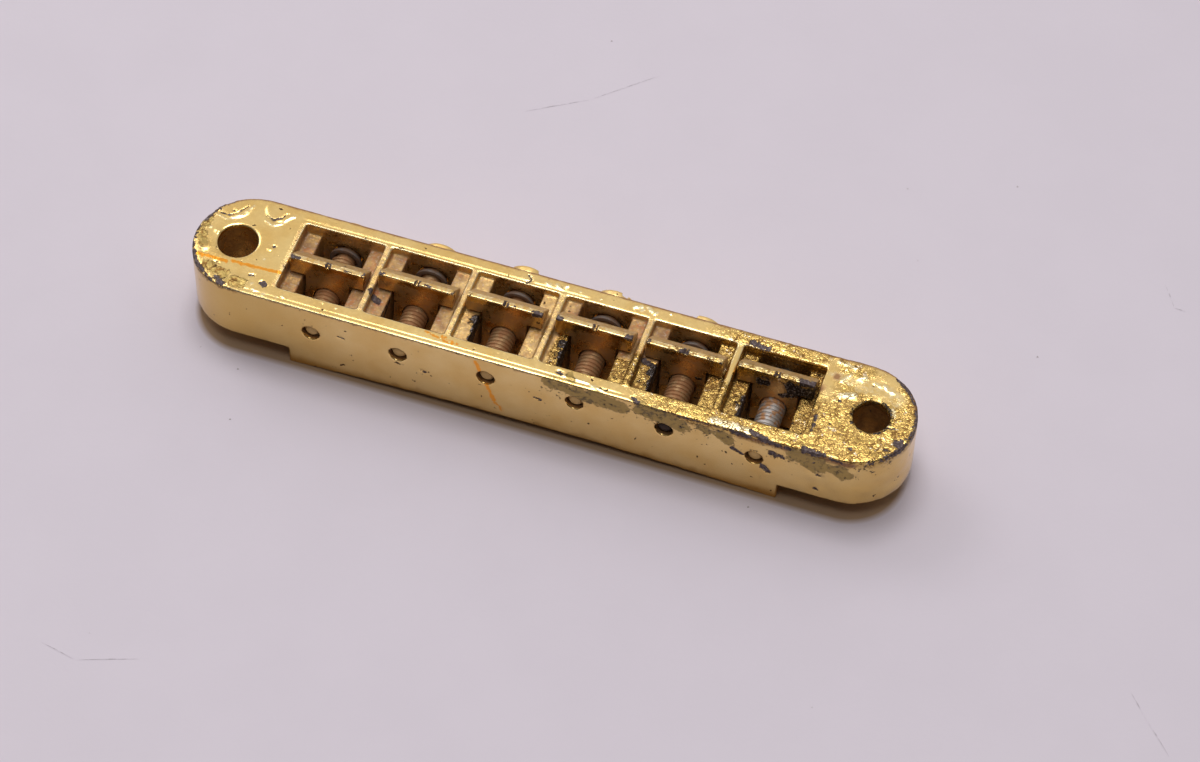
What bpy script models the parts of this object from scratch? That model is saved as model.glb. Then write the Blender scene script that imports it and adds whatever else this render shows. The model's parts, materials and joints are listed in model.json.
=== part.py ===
"""Electric guitar bridge: a cast bar that carries six saddles, each moved by its own screw.

Units are metres, +X runs along the bar, +Y points from the screw tips to the screw heads, +Z is up.
The origin lies on the surface that the bar rests on, under the middle of the whole object.
"""

import math

import bmesh
import bpy
from mathutils import Matrix, Vector

MM = 0.001

# Clearances
GAP = 0.3 * MM
RING_CLEARANCE = 0.2 * MM
SADDLE_SIDE_GAP = 0.4 * MM

# Bar
STUD_SPACING = 74.0 * MM
END_REACH = 5.03 * MM
BAR_WIDTH = 13.45 * MM
BAR_HEIGHT = 10.25 * MM
SEAT_HEIGHT = 2.4 * MM
FOOT_SPAN = 57.45 * MM
FOOT_LAND = 1.4 * MM
UNDERSIDE_RISE = 0.9 * MM
EDGE_ROUND = 0.35 * MM
STUD_HOLE_DIAMETER = 4.5 * MM
STUD_HOLE_CHAMFER = 0.15 * MM

# Bays, rails and the arc that the screw axes lie on
BAY_COUNT = 6
STRING_SPACING = 10.35 * MM
RIB_THICKNESS = 0.9 * MM
NEAR_WALL = 2.06 * MM
FAR_WALL = 1.9 * MM
SLOT_WIDTH = 5.8 * MM
AXIS_HEIGHT = 7.08 * MM
CROWN_RADIUS = 406.4 * MM
RAIL_ABOVE_AXIS = 2.5 * MM
SLOT_BELOW_AXIS = 3.1 * MM

# Intonation screw
THREAD_DIAMETER = 2.9 * MM
PILOT_DIAMETER = 1.5 * MM
PILOT_RECESS = 0.35 * MM
TIP_CHAMFER = 0.25 * MM
GROOVE_DIAMETER = 2.3 * MM
NECK_LENGTH = 0.55 * MM
HEAD_DIAMETER = 5.0 * MM
HEAD_RIM = 0.75 * MM
HEAD_DOME = 0.35 * MM
HEAD_EDGE = 0.9 * MM
DRIVER_SLOT_WIDTH = 0.8 * MM
DRIVER_SLOT_DEPTH = 0.6 * MM

# Retaining ring
RING_DIAMETER = 3.8 * MM
RING_THICKNESS = 0.4 * MM
RING_SPLIT = math.radians(38.0)

# Saddle
SADDLE_RISE = 2.4 * MM
SADDLE_DEPTH = 2.35 * MM
FRONT_LEAN = 0.15
BLADE_TOP = 0.7 * MM
HEEL_HEIGHT = 0.75 * MM
TONGUE_BELOW_AXIS = 2.4 * MM
NOTCH_WIDTH = 0.5 * MM
NOTCH_DEPTH = 0.25 * MM

# How far each saddle stands in front of its rear stop, from the left bay to the right one
SADDLE_SETBACKS = (2.395 * MM, 1.76 * MM, 1.475 * MM, 1.31 * MM, 1.0 * MM, 0.285 * MM)

# Turn of each screw about its own axis, as it was last left
SCREW_TURNS = tuple(math.radians(angle) for angle in (20.0, 165.0, 130.0, 118.0, 62.0, 95.0))

# Steps on round shapes
END_STEPS = 22
ARCH_STEPS = 16
TURNED_STEPS = 20
RING_STEPS = 20
ROUND_STEPS = 3

# Sizes that follow from the ones above
BAR_LENGTH = STUD_SPACING + 2 * END_REACH
BAY_WIDTH = STRING_SPACING - RIB_THICKNESS
NEAR_FACE = -BAR_WIDTH / 2
FAR_FACE = BAR_WIDTH / 2
BAY_NEAR = NEAR_FACE + NEAR_WALL
BAY_FAR = FAR_FACE - FAR_WALL
RING_FRONT = BAY_FAR - GAP - RING_THICKNESS
GROOVE_FRONT = RING_FRONT - NECK_LENGTH
GROOVE_BACK = RING_FRONT + RING_THICKNESS + RING_CLEARANCE
HEAD_FRONT = FAR_FACE + GAP
HEAD_BACK = HEAD_FRONT + HEAD_RIM + HEAD_DOME
REAR_STOP = RING_FRONT - GAP
CUT_MARGIN = BAR_HEIGHT


def material(name, colour, roughness, metallic):
    """A Principled material with one colour."""
    result = bpy.data.materials.new(name)
    result.use_nodes = True
    shader = result.node_tree.nodes["Principled BSDF"]
    shader.inputs["Base Color"].default_value = (*colour, 1.0)
    shader.inputs["Roughness"].default_value = roughness
    shader.inputs["Metallic"].default_value = metallic
    return result


def clear_scene():
    """Remove whatever the scene held before."""
    for item in list(bpy.data.objects):
        bpy.data.objects.remove(item, do_unlink=True)


def place(item, parent, location=(0, 0, 0), turn=0.0):
    """Link an object, with its place and its turn about Y, under a parent."""
    bpy.context.scene.collection.objects.link(item)
    item.parent = parent
    item.location = location
    item.rotation_euler = (0, turn, 0)
    return item


def empty(name, parent, location):
    """A named point that pieces are placed from."""
    return place(bpy.data.objects.new(name, None), parent, location)


def finish_mesh(bm, name, smooth_angle=math.radians(32.0)):
    """Turn a bmesh into a mesh whose faces point outward and whose round faces are smooth."""
    bmesh.ops.remove_doubles(bm, verts=bm.verts, dist=1e-7)
    bmesh.ops.recalc_face_normals(bm, faces=bm.faces)
    mesh = bpy.data.meshes.new(name)
    bm.to_mesh(mesh)
    bm.free()
    mesh.shade_smooth()
    mesh.set_sharp_from_angle(angle=smooth_angle)
    return mesh


def prism(outline, lift):
    """A bmesh prism: a closed outline of 3-D points, extruded by a vector."""
    bm = bmesh.new()
    base = bm.faces.new([bm.verts.new(point) for point in outline])
    moved = bmesh.ops.extrude_face_region(bm, geom=[base])["geom"]
    moved_verts = [item for item in moved if isinstance(item, bmesh.types.BMVert)]
    bmesh.ops.translate(bm, verts=moved_verts, vec=lift)
    return bm


def turned(profile, steps):
    """A bmesh turned about Y from (radius, y) points, with a flat cap at each end."""
    bm = bmesh.new()
    angles = [2 * math.pi * step / steps for step in range(steps)]
    rings = []
    for radius, y in profile:
        ring = [bm.verts.new((radius * math.cos(a), y, radius * math.sin(a))) for a in angles]
        rings.append(ring)
    for ring, following in zip(rings, rings[1:]):
        for i in range(steps):
            j = (i + 1) % steps
            bm.faces.new((ring[i], ring[j], following[j], following[i]))
    bm.faces.new(rings[0])
    bm.faces.new(rings[-1])
    return bm


def box(low, high):
    """A bmesh box between two corners."""
    bm = bmesh.new()
    size = [b - a for a, b in zip(low, high)]
    middle = [(a + b) / 2 for a, b in zip(low, high)]
    place_and_size = Matrix.Translation(middle) @ Matrix.Diagonal((*size, 1.0))
    bmesh.ops.create_cube(bm, size=1.0, matrix=place_and_size)
    return bm


def cut(target, mesh, parent, location=(0, 0, 0)):
    """Cut a mesh's shape out of an object with a Boolean modifier and a hidden cutter."""
    number = len(target.modifiers) + 1
    cutter = place(bpy.data.objects.new(f"{target.name}_cutter_{number}", mesh), parent, location)
    cutter.hide_render = True
    cutter.display_type = "WIRE"
    modifier = target.modifiers.new(f"cut_{number}", "BOOLEAN")
    modifier.operation = "DIFFERENCE"
    modifier.solver = "EXACT"
    modifier.object = cutter


def bay_axis(bay):
    """Where a bay's screw axis crosses the bar's middle plane."""
    x = (bay - (BAY_COUNT - 1) / 2) * STRING_SPACING
    sag = CROWN_RADIUS - math.sqrt(CROWN_RADIUS ** 2 - x ** 2)
    return Vector((x, 0, AXIS_HEIGHT - sag))


def bar_blank():
    """The bar before it is cut: half-round ends and a rounded top edge."""
    radius = BAR_WIDTH / 2
    centre = BAR_LENGTH / 2 - radius
    outline = []
    for side in (1, -1):
        for step in range(END_STEPS + 1):
            angle = math.pi * (step / END_STEPS - 0.5)
            outline.append((side * (centre + radius * math.cos(angle)), side * radius * math.sin(angle), 0))
    bm = prism(outline, (0, 0, BAR_HEIGHT))
    top_edges = [edge for edge in bm.edges if all(v.co.z > BAR_HEIGHT / 2 for v in edge.verts)]
    bmesh.ops.bevel(
        bm, geom=top_edges, offset=EDGE_ROUND, segments=ROUND_STEPS, profile=0.5, affect="EDGES")
    return bm


def seat_cutter(side):
    """What is cut away under one end, so that its seat stands above the foot."""
    inner = side * FOOT_SPAN / 2
    outer = side * (BAR_LENGTH / 2 + CUT_MARGIN)
    low = (min(inner, outer), -BAR_WIDTH, -CUT_MARGIN)
    high = (max(inner, outer), BAR_WIDTH, SEAT_HEIGHT)
    return box(low, high)


def arch_cutter():
    """The shallow arch under the middle of the bar, between the two foot lands."""
    half = FOOT_SPAN / 2 - FOOT_LAND
    radius = (half ** 2 + UNDERSIDE_RISE ** 2) / (2 * UNDERSIDE_RISE)
    reach = math.asin(half / radius)
    outline = [(half, -BAR_WIDTH, -CUT_MARGIN)]
    for step in range(ARCH_STEPS + 1):
        angle = reach * (1 - 2 * step / ARCH_STEPS)
        z = UNDERSIDE_RISE - radius * (1 - math.cos(angle))
        outline.append((radius * math.sin(angle), -BAR_WIDTH, z))
    outline.append((-half, -BAR_WIDTH, -CUT_MARGIN))
    return prism(outline, (0, 2 * BAR_WIDTH, 0))


def bay_cutter():
    """One bay seen from its screw axis: a deep slot with a rail on each side."""
    outline = [
        (SLOT_WIDTH / 2, BAY_NEAR, -SLOT_BELOW_AXIS),
        (SLOT_WIDTH / 2, BAY_NEAR, RAIL_ABOVE_AXIS),
        (BAY_WIDTH / 2, BAY_NEAR, RAIL_ABOVE_AXIS),
        (BAY_WIDTH / 2, BAY_NEAR, CUT_MARGIN),
        (-BAY_WIDTH / 2, BAY_NEAR, CUT_MARGIN),
        (-BAY_WIDTH / 2, BAY_NEAR, RAIL_ABOVE_AXIS),
        (-SLOT_WIDTH / 2, BAY_NEAR, RAIL_ABOVE_AXIS),
        (-SLOT_WIDTH / 2, BAY_NEAR, -SLOT_BELOW_AXIS),
    ]
    return prism(outline, (0, BAY_FAR - BAY_NEAR, 0))


def screw_hole_cutter():
    """The screw's running holes: narrow in the near wall, wide in the far wall."""
    pilot_hole = PILOT_DIAMETER / 2 + GAP
    shank_hole = THREAD_DIAMETER / 2 + GAP
    middle = (BAY_NEAR + BAY_FAR) / 2
    profile = [
        (pilot_hole, NEAR_FACE - NEAR_WALL),
        (pilot_hole, middle),
        (shank_hole, middle),
        (shank_hole, FAR_FACE + FAR_WALL),
    ]
    return turned(profile, TURNED_STEPS)


def stud_hole_cutter():
    """A stud hole, turned about Z, with a chamfer at its top and at its seat."""
    radius = STUD_HOLE_DIAMETER / 2
    profile = [
        (radius + STUD_HOLE_CHAMFER, SEAT_HEIGHT - STUD_HOLE_CHAMFER),
        (radius + STUD_HOLE_CHAMFER, SEAT_HEIGHT),
        (radius, SEAT_HEIGHT + STUD_HOLE_CHAMFER),
        (radius, BAR_HEIGHT - STUD_HOLE_CHAMFER),
        (radius + STUD_HOLE_CHAMFER, BAR_HEIGHT),
        (radius + STUD_HOLE_CHAMFER, BAR_HEIGHT + STUD_HOLE_CHAMFER),
    ]
    bm = turned(profile, TURNED_STEPS)
    upright = Matrix(((1, 0, 0), (0, 0, -1), (0, 1, 0)))
    bmesh.ops.transform(bm, matrix=upright.to_4x4(), verts=bm.verts)
    return bm


def make_bar(frame, plating):
    """The cast bar with its seats, arch, bays and holes."""
    bar = bpy.data.objects.new("bridge_body", finish_mesh(bar_blank(), "bridge_body"))
    bar.data.materials.append(plating)
    place(bar, frame)
    for side in (-1, 1):
        cut(bar, finish_mesh(seat_cutter(side), "seat_cutter"), frame)
    cut(bar, finish_mesh(arch_cutter(), "arch_cutter"), frame)
    bay_mesh = finish_mesh(bay_cutter(), "bay_cutter")
    hole_mesh = finish_mesh(screw_hole_cutter(), "screw_hole_cutter")
    for bay in range(BAY_COUNT):
        cut(bar, bay_mesh, frame, bay_axis(bay))
        cut(bar, hole_mesh, frame, bay_axis(bay))
    stud_mesh = finish_mesh(stud_hole_cutter(), "stud_hole_cutter")
    for side in (-1, 1):
        cut(bar, stud_mesh, frame, (side * STUD_SPACING / 2, 0, 0))
    return bar


def slice_off(bm, point, normal):
    """Cut a solid bmesh on a plane and close it, leaving the side that the normal points away from."""
    bmesh.ops.recalc_face_normals(bm, faces=bm.faces)
    cut_ring = bmesh.ops.bisect_plane(
        bm, geom=list(bm.verts) + list(bm.edges) + list(bm.faces), dist=1e-7,
        plane_co=point, plane_no=normal, clear_outer=True)["geom_cut"]
    open_edges = [item for item in cut_ring if isinstance(item, bmesh.types.BMEdge)]
    bmesh.ops.edgeloop_fill(bm, edges=open_edges)


def saddle_blank():
    """A saddle seen from its screw axis, its blade's front edge at y = 0, before it is bored.

    Its shoulders bridge the rails, its tongue hangs in the slot, its front leans forward on the way
    down and its rear slopes down from the blade to a heel.
    """
    shoulder = BAY_WIDTH / 2 - SADDLE_SIDE_GAP
    tongue = SLOT_WIDTH / 2 - GAP
    underside = RAIL_ABOVE_AXIS + GAP
    top = RAIL_ABOVE_AXIS + SADDLE_RISE
    front = -FRONT_LEAN * (top + TONGUE_BELOW_AXIS)
    outline = [
        (tongue, front, -TONGUE_BELOW_AXIS),
        (tongue, front, underside),
        (shoulder, front, underside),
        (shoulder, front, top),
        (NOTCH_WIDTH / 2, front, top),
        (0, front, top - NOTCH_DEPTH),
        (-NOTCH_WIDTH / 2, front, top),
        (-shoulder, front, top),
        (-shoulder, front, underside),
        (-tongue, front, underside),
        (-tongue, front, -TONGUE_BELOW_AXIS),
    ]
    bm = prism(outline, (0, SADDLE_DEPTH - front, 0))
    slice_off(bm, (0, 0, top), Vector((0, -1, FRONT_LEAN)))
    heel = top - RAIL_ABOVE_AXIS - HEEL_HEIGHT
    slice_off(bm, (0, BLADE_TOP, top), Vector((0, heel, SADDLE_DEPTH - BLADE_TOP)))
    return bm


def bore_cutter():
    """The saddle's bore, which clears the screw."""
    radius = THREAD_DIAMETER / 2 + GAP
    profile = [(radius, -SADDLE_DEPTH), (radius, 2 * SADDLE_DEPTH)]
    return turned(profile, TURNED_STEPS)


def screw_profile():
    """The screw's outline from its tip to its domed head, as (radius, y) points."""
    thread = THREAD_DIAMETER / 2
    pilot = PILOT_DIAMETER / 2
    groove = GROOVE_DIAMETER / 2
    head = HEAD_DIAMETER / 2
    tip = NEAR_FACE + PILOT_RECESS
    shoulder = BAY_NEAR + GAP
    profile = [
        (pilot - TIP_CHAMFER, tip),
        (pilot, tip + TIP_CHAMFER),
        (pilot, shoulder),
        (thread - TIP_CHAMFER, shoulder),
        (thread, shoulder + TIP_CHAMFER),
        (thread, GROOVE_FRONT),
        (groove, GROOVE_FRONT),
        (groove, GROOVE_BACK),
        (thread, GROOVE_BACK),
        (thread, HEAD_FRONT),
        (head, HEAD_FRONT),
    ]
    for step in range(ROUND_STEPS + 1):
        angle = math.pi / 2 * step / ROUND_STEPS
        radius = head - HEAD_EDGE * (1 - math.cos(angle))
        profile.append((radius, HEAD_FRONT + HEAD_RIM + HEAD_DOME * math.sin(angle)))
    return profile


def driver_slot_cutter():
    """The straight slot across a screw's head."""
    low = (-HEAD_DIAMETER, HEAD_BACK - DRIVER_SLOT_DEPTH, -DRIVER_SLOT_WIDTH / 2)
    high = (HEAD_DIAMETER, HEAD_BACK + HEAD_RIM, DRIVER_SLOT_WIDTH / 2)
    return box(low, high)


def ring_blank():
    """A flat split ring about Y, with its split pointing down."""
    outer = RING_DIAMETER / 2
    inner = GROOVE_DIAMETER / 2 + RING_CLEARANCE
    start = -math.pi / 2 + RING_SPLIT / 2
    sweep = 2 * math.pi - RING_SPLIT
    angles = [start + sweep * step / RING_STEPS for step in range(RING_STEPS + 1)]
    outline = [(outer * math.cos(a), RING_FRONT, outer * math.sin(a)) for a in angles]
    outline += [(inner * math.cos(a), RING_FRONT, inner * math.sin(a)) for a in reversed(angles)]
    return prism(outline, (0, RING_THICKNESS, 0))


def make_bay_pieces(frame, finishes):
    """The saddle, screw and retaining ring of every bay, each about its bay's screw axis."""
    saddle_mesh = finish_mesh(saddle_blank(), "saddle")
    screw_mesh = finish_mesh(turned(screw_profile(), TURNED_STEPS), "intonation_screw")
    ring_mesh = finish_mesh(ring_blank(), "retaining_ring")
    bore_mesh = finish_mesh(bore_cutter(), "bore_cutter")
    slot_mesh = finish_mesh(driver_slot_cutter(), "driver_slot_cutter")
    saddle_mesh.materials.append(finishes["saddle"])
    screw_mesh.materials.append(finishes["screw"])
    ring_mesh.materials.append(finishes["ring"])
    for bay in range(BAY_COUNT):
        number = bay + 1
        axis = empty(f"bay_{number}_axis", frame, bay_axis(bay))
        blade = REAR_STOP - SADDLE_DEPTH - SADDLE_SETBACKS[bay]
        saddle = place(bpy.data.objects.new(f"saddle_{number}", saddle_mesh), axis, (0, blade, 0))
        cut(saddle, bore_mesh, saddle)
        screw = bpy.data.objects.new(f"intonation_screw_{number}", screw_mesh)
        place(screw, axis, turn=SCREW_TURNS[bay])
        cut(screw, slot_mesh, screw)
        ring = bpy.data.objects.new(f"retaining_ring_{number}", ring_mesh)
        place(ring, axis)


def main():
    """Build the whole bridge."""
    clear_scene()
    finishes = {
        "saddle": material("saddle_gold", (0.62, 0.44, 0.17), 0.38, 1.0),
        "screw": material("screw_bronze", (0.42, 0.27, 0.16), 0.55, 0.85),
        "ring": material("ring_steel", (0.16, 0.16, 0.18), 0.45, 1.0),
    }
    plating = material("bar_gold", (0.82, 0.63, 0.30), 0.30, 1.0)
    head_stand_out = HEAD_BACK - FAR_FACE
    frame = empty("bar_frame", None, (0, -head_stand_out / 2, 0))
    make_bar(frame, plating)
    make_bay_pieces(frame, finishes)


main()
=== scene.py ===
"""Electric guitar bridge, dressed: worn gold plating on a cast bar, rubbed saddles and threaded screws.

Shapes are worked out in millimetres and scaled to metres when a piece is made.
"""

import itertools
import json
import logging
import math
from dataclasses import dataclass, field
from enum import Enum
from typing import Callable, Sequence

import bmesh
import bpy
import numpy as np
from mathutils import Matrix, Vector


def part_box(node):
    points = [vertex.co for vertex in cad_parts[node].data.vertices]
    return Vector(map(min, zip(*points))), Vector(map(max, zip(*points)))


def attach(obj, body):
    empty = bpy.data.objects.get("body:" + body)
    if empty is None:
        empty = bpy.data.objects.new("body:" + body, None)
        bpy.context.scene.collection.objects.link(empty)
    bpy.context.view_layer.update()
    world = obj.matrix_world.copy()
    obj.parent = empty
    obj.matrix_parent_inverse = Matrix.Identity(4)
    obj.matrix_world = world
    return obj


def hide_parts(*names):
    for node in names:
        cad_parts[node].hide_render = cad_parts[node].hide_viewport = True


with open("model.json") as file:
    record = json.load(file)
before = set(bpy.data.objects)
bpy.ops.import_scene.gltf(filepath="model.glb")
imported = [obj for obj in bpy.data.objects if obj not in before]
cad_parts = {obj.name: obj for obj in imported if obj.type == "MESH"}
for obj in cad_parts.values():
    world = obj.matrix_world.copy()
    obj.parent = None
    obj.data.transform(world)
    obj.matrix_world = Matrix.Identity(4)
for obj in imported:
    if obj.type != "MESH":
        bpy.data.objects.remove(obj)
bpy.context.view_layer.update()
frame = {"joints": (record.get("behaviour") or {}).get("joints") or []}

LOG = logging.getLogger("bridge")
MM = 0.001


class Slot(Enum):
    """The record's material slots."""

    BAR = "bar_plating"
    SADDLE = "saddle_plating"
    SCREW = "screw_steel"
    RING = "ring_steel"


class Wear(Enum):
    """Kinds of wear, painted shade and painted highlights that a mesh carries as vertex values for its finish to read.
    """

    CRINKLE = "crinkle"
    TARNISH = "tarnish"
    CHIP = "chip"
    COPPER = "copper"
    # Dirt, and painted shade in the bays, the holes, on the rim and on the saddles' lower parts.
    GRIME_AND_SHADE = "grime_and_shade"
    # Pale places: rubbed wear, the screw tips' colour, and painted highlights on edges, blister rims and smooth gold.
    PALE = "pale"
    CRUST = "crust"
    DUST = "dust"
    BLACK = "black"
    # Painted shade: the near face's darker reflection of the shadowed paper.
    PAINTED_SHADE = "painted_shade"


def lattice_noise(points: np.ndarray, cell: float, seed: int) -> np.ndarray:
    """Smooth noise on a lattice.

    Args:
        points: Positions, one row each, in millimetres.
        cell: Width of a lattice cell, in millimetres.
        seed: Picks one of many noise fields.

    Returns:
        One value from -1 to 1 for each position.
    """
    scaled = points / cell
    base = np.floor(scaled).astype(np.int64)
    part = scaled - base
    smooth = part * part * (3 - 2 * part)
    total = np.zeros(len(points))
    for corner in itertools.product((0, 1), repeat=3):
        weight = np.ones(len(points))
        for axis in range(3):
            weight = weight * (smooth[:, axis] if corner[axis] else 1 - smooth[:, axis])
        total += weight * lattice_random(base + np.array(corner), seed) * 2
    return total - 1


def lattice_random(cells: np.ndarray, seed: int) -> np.ndarray:
    """A repeatable random value from 0 to 1 for each whole-number cell."""
    primes = np.array([73856093, 19349663, 83492791])
    key = (cells * primes).sum(1) + seed * 2654435761
    key = (key ^ (key >> 13)) * 1274126177
    key = (key ^ (key >> 16)) & 0x7FFFFFFF
    key = (key * 1103515245 + 12345) & 0x7FFFFFFF
    return (key >> 7) / float(0x7FFFFFFF >> 7)


def cell_noise(points: np.ndarray, cell: float, seed: int) -> tuple[np.ndarray, np.ndarray]:
    """Distances to the nearest and second nearest of randomly placed seeds.

    Args:
        points: Positions, one row each, in millimetres.
        cell: Mean spacing of the seeds, in millimetres.
        seed: Picks one of many fields.

    Returns:
        The two distances for each position, as shares of the spacing.
    """
    scaled = points / cell
    base = np.floor(scaled).astype(np.int64)
    nearest = np.full(len(points), 9.0)
    second = np.full(len(points), 9.0)
    for corner in itertools.product((-1, 0, 1), repeat=3):
        cells = base + np.array(corner)
        offset = np.stack([lattice_random(cells, seed + axis) for axis in range(3)], 1)
        distance = np.linalg.norm(cells + offset - scaled, axis=1)
        second = np.minimum(second, np.maximum(nearest, distance))
        nearest = np.minimum(nearest, distance)
    return nearest, second


def step_up(values: np.ndarray, start: float, end: float) -> np.ndarray:
    """A smooth rise from 0 at start to 1 at end, or a fall where end is below start."""
    share = np.clip((values - start) / (end - start), 0, 1)
    return share * share * (3 - 2 * share)


def mesh_points(mesh: bpy.types.Mesh) -> np.ndarray:
    """A mesh's vertices as rows."""
    flat = np.empty(len(mesh.vertices) * 3, np.float32)
    mesh.vertices.foreach_get("co", flat)
    return flat.reshape(-1, 3).astype(float)


def mesh_normals(mesh: bpy.types.Mesh) -> np.ndarray:
    """A mesh's vertex normals as rows."""
    flat = np.empty(len(mesh.vertices) * 3, np.float32)
    mesh.vertex_normals.foreach_get("vector", flat)
    return flat.reshape(-1, 3).astype(float)


def set_points(mesh: bpy.types.Mesh, points: np.ndarray) -> None:
    """Move a mesh's vertices."""
    mesh.vertices.foreach_set("co", points.astype(np.float32).ravel())
    mesh.update()


def set_wear(mesh: bpy.types.Mesh, wear: Wear, values: np.ndarray) -> None:
    """Store one kind of wear on a mesh's vertices."""
    attribute = mesh.attributes.new(wear.value, "FLOAT", "POINT")
    attribute.data.foreach_set("value", values.astype(np.float32))


def mesh_from(bm: bmesh.types.BMesh, name: str) -> bpy.types.Mesh:
    """Turn a bmesh into a mesh with its faces pointing out."""
    bmesh.ops.recalc_face_normals(bm, faces=bm.faces)
    mesh = bpy.data.meshes.new(name)
    bm.to_mesh(mesh)
    bm.free()
    return mesh


def prism(outline: Sequence[tuple[float, float, float]], lift: tuple[float, float, float]) -> bmesh.types.BMesh:
    """Extrude a closed outline.

    Args:
        outline: Points in order, in one plane.
        lift: How far and which way it is extruded.

    Returns:
        The closed solid.
    """
    bm = bmesh.new()
    base = bm.faces.new([bm.verts.new(point) for point in outline])
    moved = bmesh.ops.extrude_face_region(bm, geom=[base])["geom"]
    bmesh.ops.translate(bm, verts=[v for v in moved if isinstance(v, bmesh.types.BMVert)], vec=lift)
    return bm


def turned(profile: Sequence[tuple[float, float]], steps: int) -> bmesh.types.BMesh:
    """Turn (radius, y) points about Y and close both ends."""
    bm = bmesh.new()
    rings = []
    for radius, y in profile:
        angles = [2 * math.pi * step / steps for step in range(steps)]
        rings.append([bm.verts.new((radius * math.cos(a), y, radius * math.sin(a))) for a in angles])
    for ring, following in zip(rings, rings[1:]):
        for i in range(steps):
            j = (i + 1) % steps
            bm.faces.new((ring[i], ring[j], following[j], following[i]))
    bm.faces.new(rings[0])
    bm.faces.new(rings[-1])
    return bm


def box(low: Sequence[float], high: Sequence[float]) -> bmesh.types.BMesh:
    """A box between two corners."""
    bm = bmesh.new()
    middle = [(a + b) / 2 for a, b in zip(low, high)]
    size = [b - a for a, b in zip(low, high)]
    bmesh.ops.create_cube(bm, size=1.0, matrix=Matrix.Translation(middle) @ Matrix.Diagonal((*size, 1.0)))
    return bm


class Carving:
    """A solid that others are cut out of, and that is then turned into a dense, softened mesh."""

    def __init__(self, blank: bpy.types.Mesh, name: str) -> None:
        """Start from a blank."""
        self.piece = bpy.data.objects.new(name, blank)
        bpy.context.scene.collection.objects.link(self.piece)
        self.cutters: list[bpy.types.Object] = []

    def cut(self, bm: bmesh.types.BMesh) -> None:
        """Cut a solid out of the blank."""
        cutter = bpy.data.objects.new("cutter", mesh_from(bm, "cutter"))
        bpy.context.scene.collection.objects.link(cutter)
        self.cutters.append(cutter)
        modifier = self.piece.modifiers.new("cut", "BOOLEAN")
        modifier.operation = "DIFFERENCE"
        modifier.solver = "EXACT"
        modifier.object = cutter

    def soften(self, voxel: float, passes: int) -> bpy.types.Mesh:
        """Remesh the carved solid and round its edges a little.

        Args:
            voxel: Size of the new faces, in millimetres.
            passes: Smoothing passes, each rounding the edges more.

        Returns:
            The dense mesh, still in millimetres.
        """
        remesh = self.piece.modifiers.new("remesh", "REMESH")
        remesh.mode = "VOXEL"
        remesh.voxel_size = voxel
        smooth = self.piece.modifiers.new("smooth", "SMOOTH")
        smooth.factor = 0.5
        smooth.iterations = passes
        mesh = self.evaluated()
        self.discard()
        return mesh

    def evaluated(self) -> bpy.types.Mesh:
        """The mesh with its modifiers applied."""
        graph = bpy.context.evaluated_depsgraph_get()
        graph.update()
        return bpy.data.meshes.new_from_object(self.piece.evaluated_get(graph))

    def discard(self) -> None:
        """Remove the working objects."""
        for item in (self.piece, *self.cutters):
            bpy.data.objects.remove(item, do_unlink=True)


def thinned(mesh: bpy.types.Mesh, most_faces: int, spared: np.ndarray | None = None) -> bpy.types.Mesh:
    """Merge faces where a mesh is flat until it has no more than a number of triangles.

    Args:
        mesh: The dense mesh.
        most_faces: The most triangles that are kept.
        spared: Which vertices are merged less than the others, if any are.

    Returns:
        The lighter mesh.
    """
    triangles = sum(len(face.vertices) - 2 for face in mesh.polygons)
    if triangles <= most_faces:
        return mesh
    piece = bpy.data.objects.new("thinned", mesh)
    bpy.context.scene.collection.objects.link(piece)
    modifier = piece.modifiers.new("decimate", "DECIMATE")
    modifier.ratio = most_faces / triangles
    if spared is not None:
        group = piece.vertex_groups.new(name="merged")
        group.add(np.flatnonzero(~spared).tolist(), 1.0, "REPLACE")
        group.add(np.flatnonzero(spared).tolist(), 0.2, "REPLACE")
        modifier.vertex_group = group.name
        modifier.vertex_group_factor = 0.004
    graph = bpy.context.evaluated_depsgraph_get()
    result = bpy.data.meshes.new_from_object(piece.evaluated_get(graph))
    bpy.data.objects.remove(piece, do_unlink=True)
    return result


def finished_piece(mesh: bpy.types.Mesh, name: str, material: bpy.types.Material) -> bpy.types.Object:
    """Make the shown object from a mesh in millimetres.

    Args:
        mesh: The mesh, in millimetres and in place.
        name: The object's name.
        material: Its finish.

    Returns:
        The linked object, in metres.
    """
    mesh.transform(Matrix.Scale(MM, 4))
    mesh.materials.clear()
    mesh.materials.append(material)
    mesh.shade_smooth()
    piece = bpy.data.objects.new(name, mesh)
    bpy.context.scene.collection.objects.link(piece)
    return piece


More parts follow.
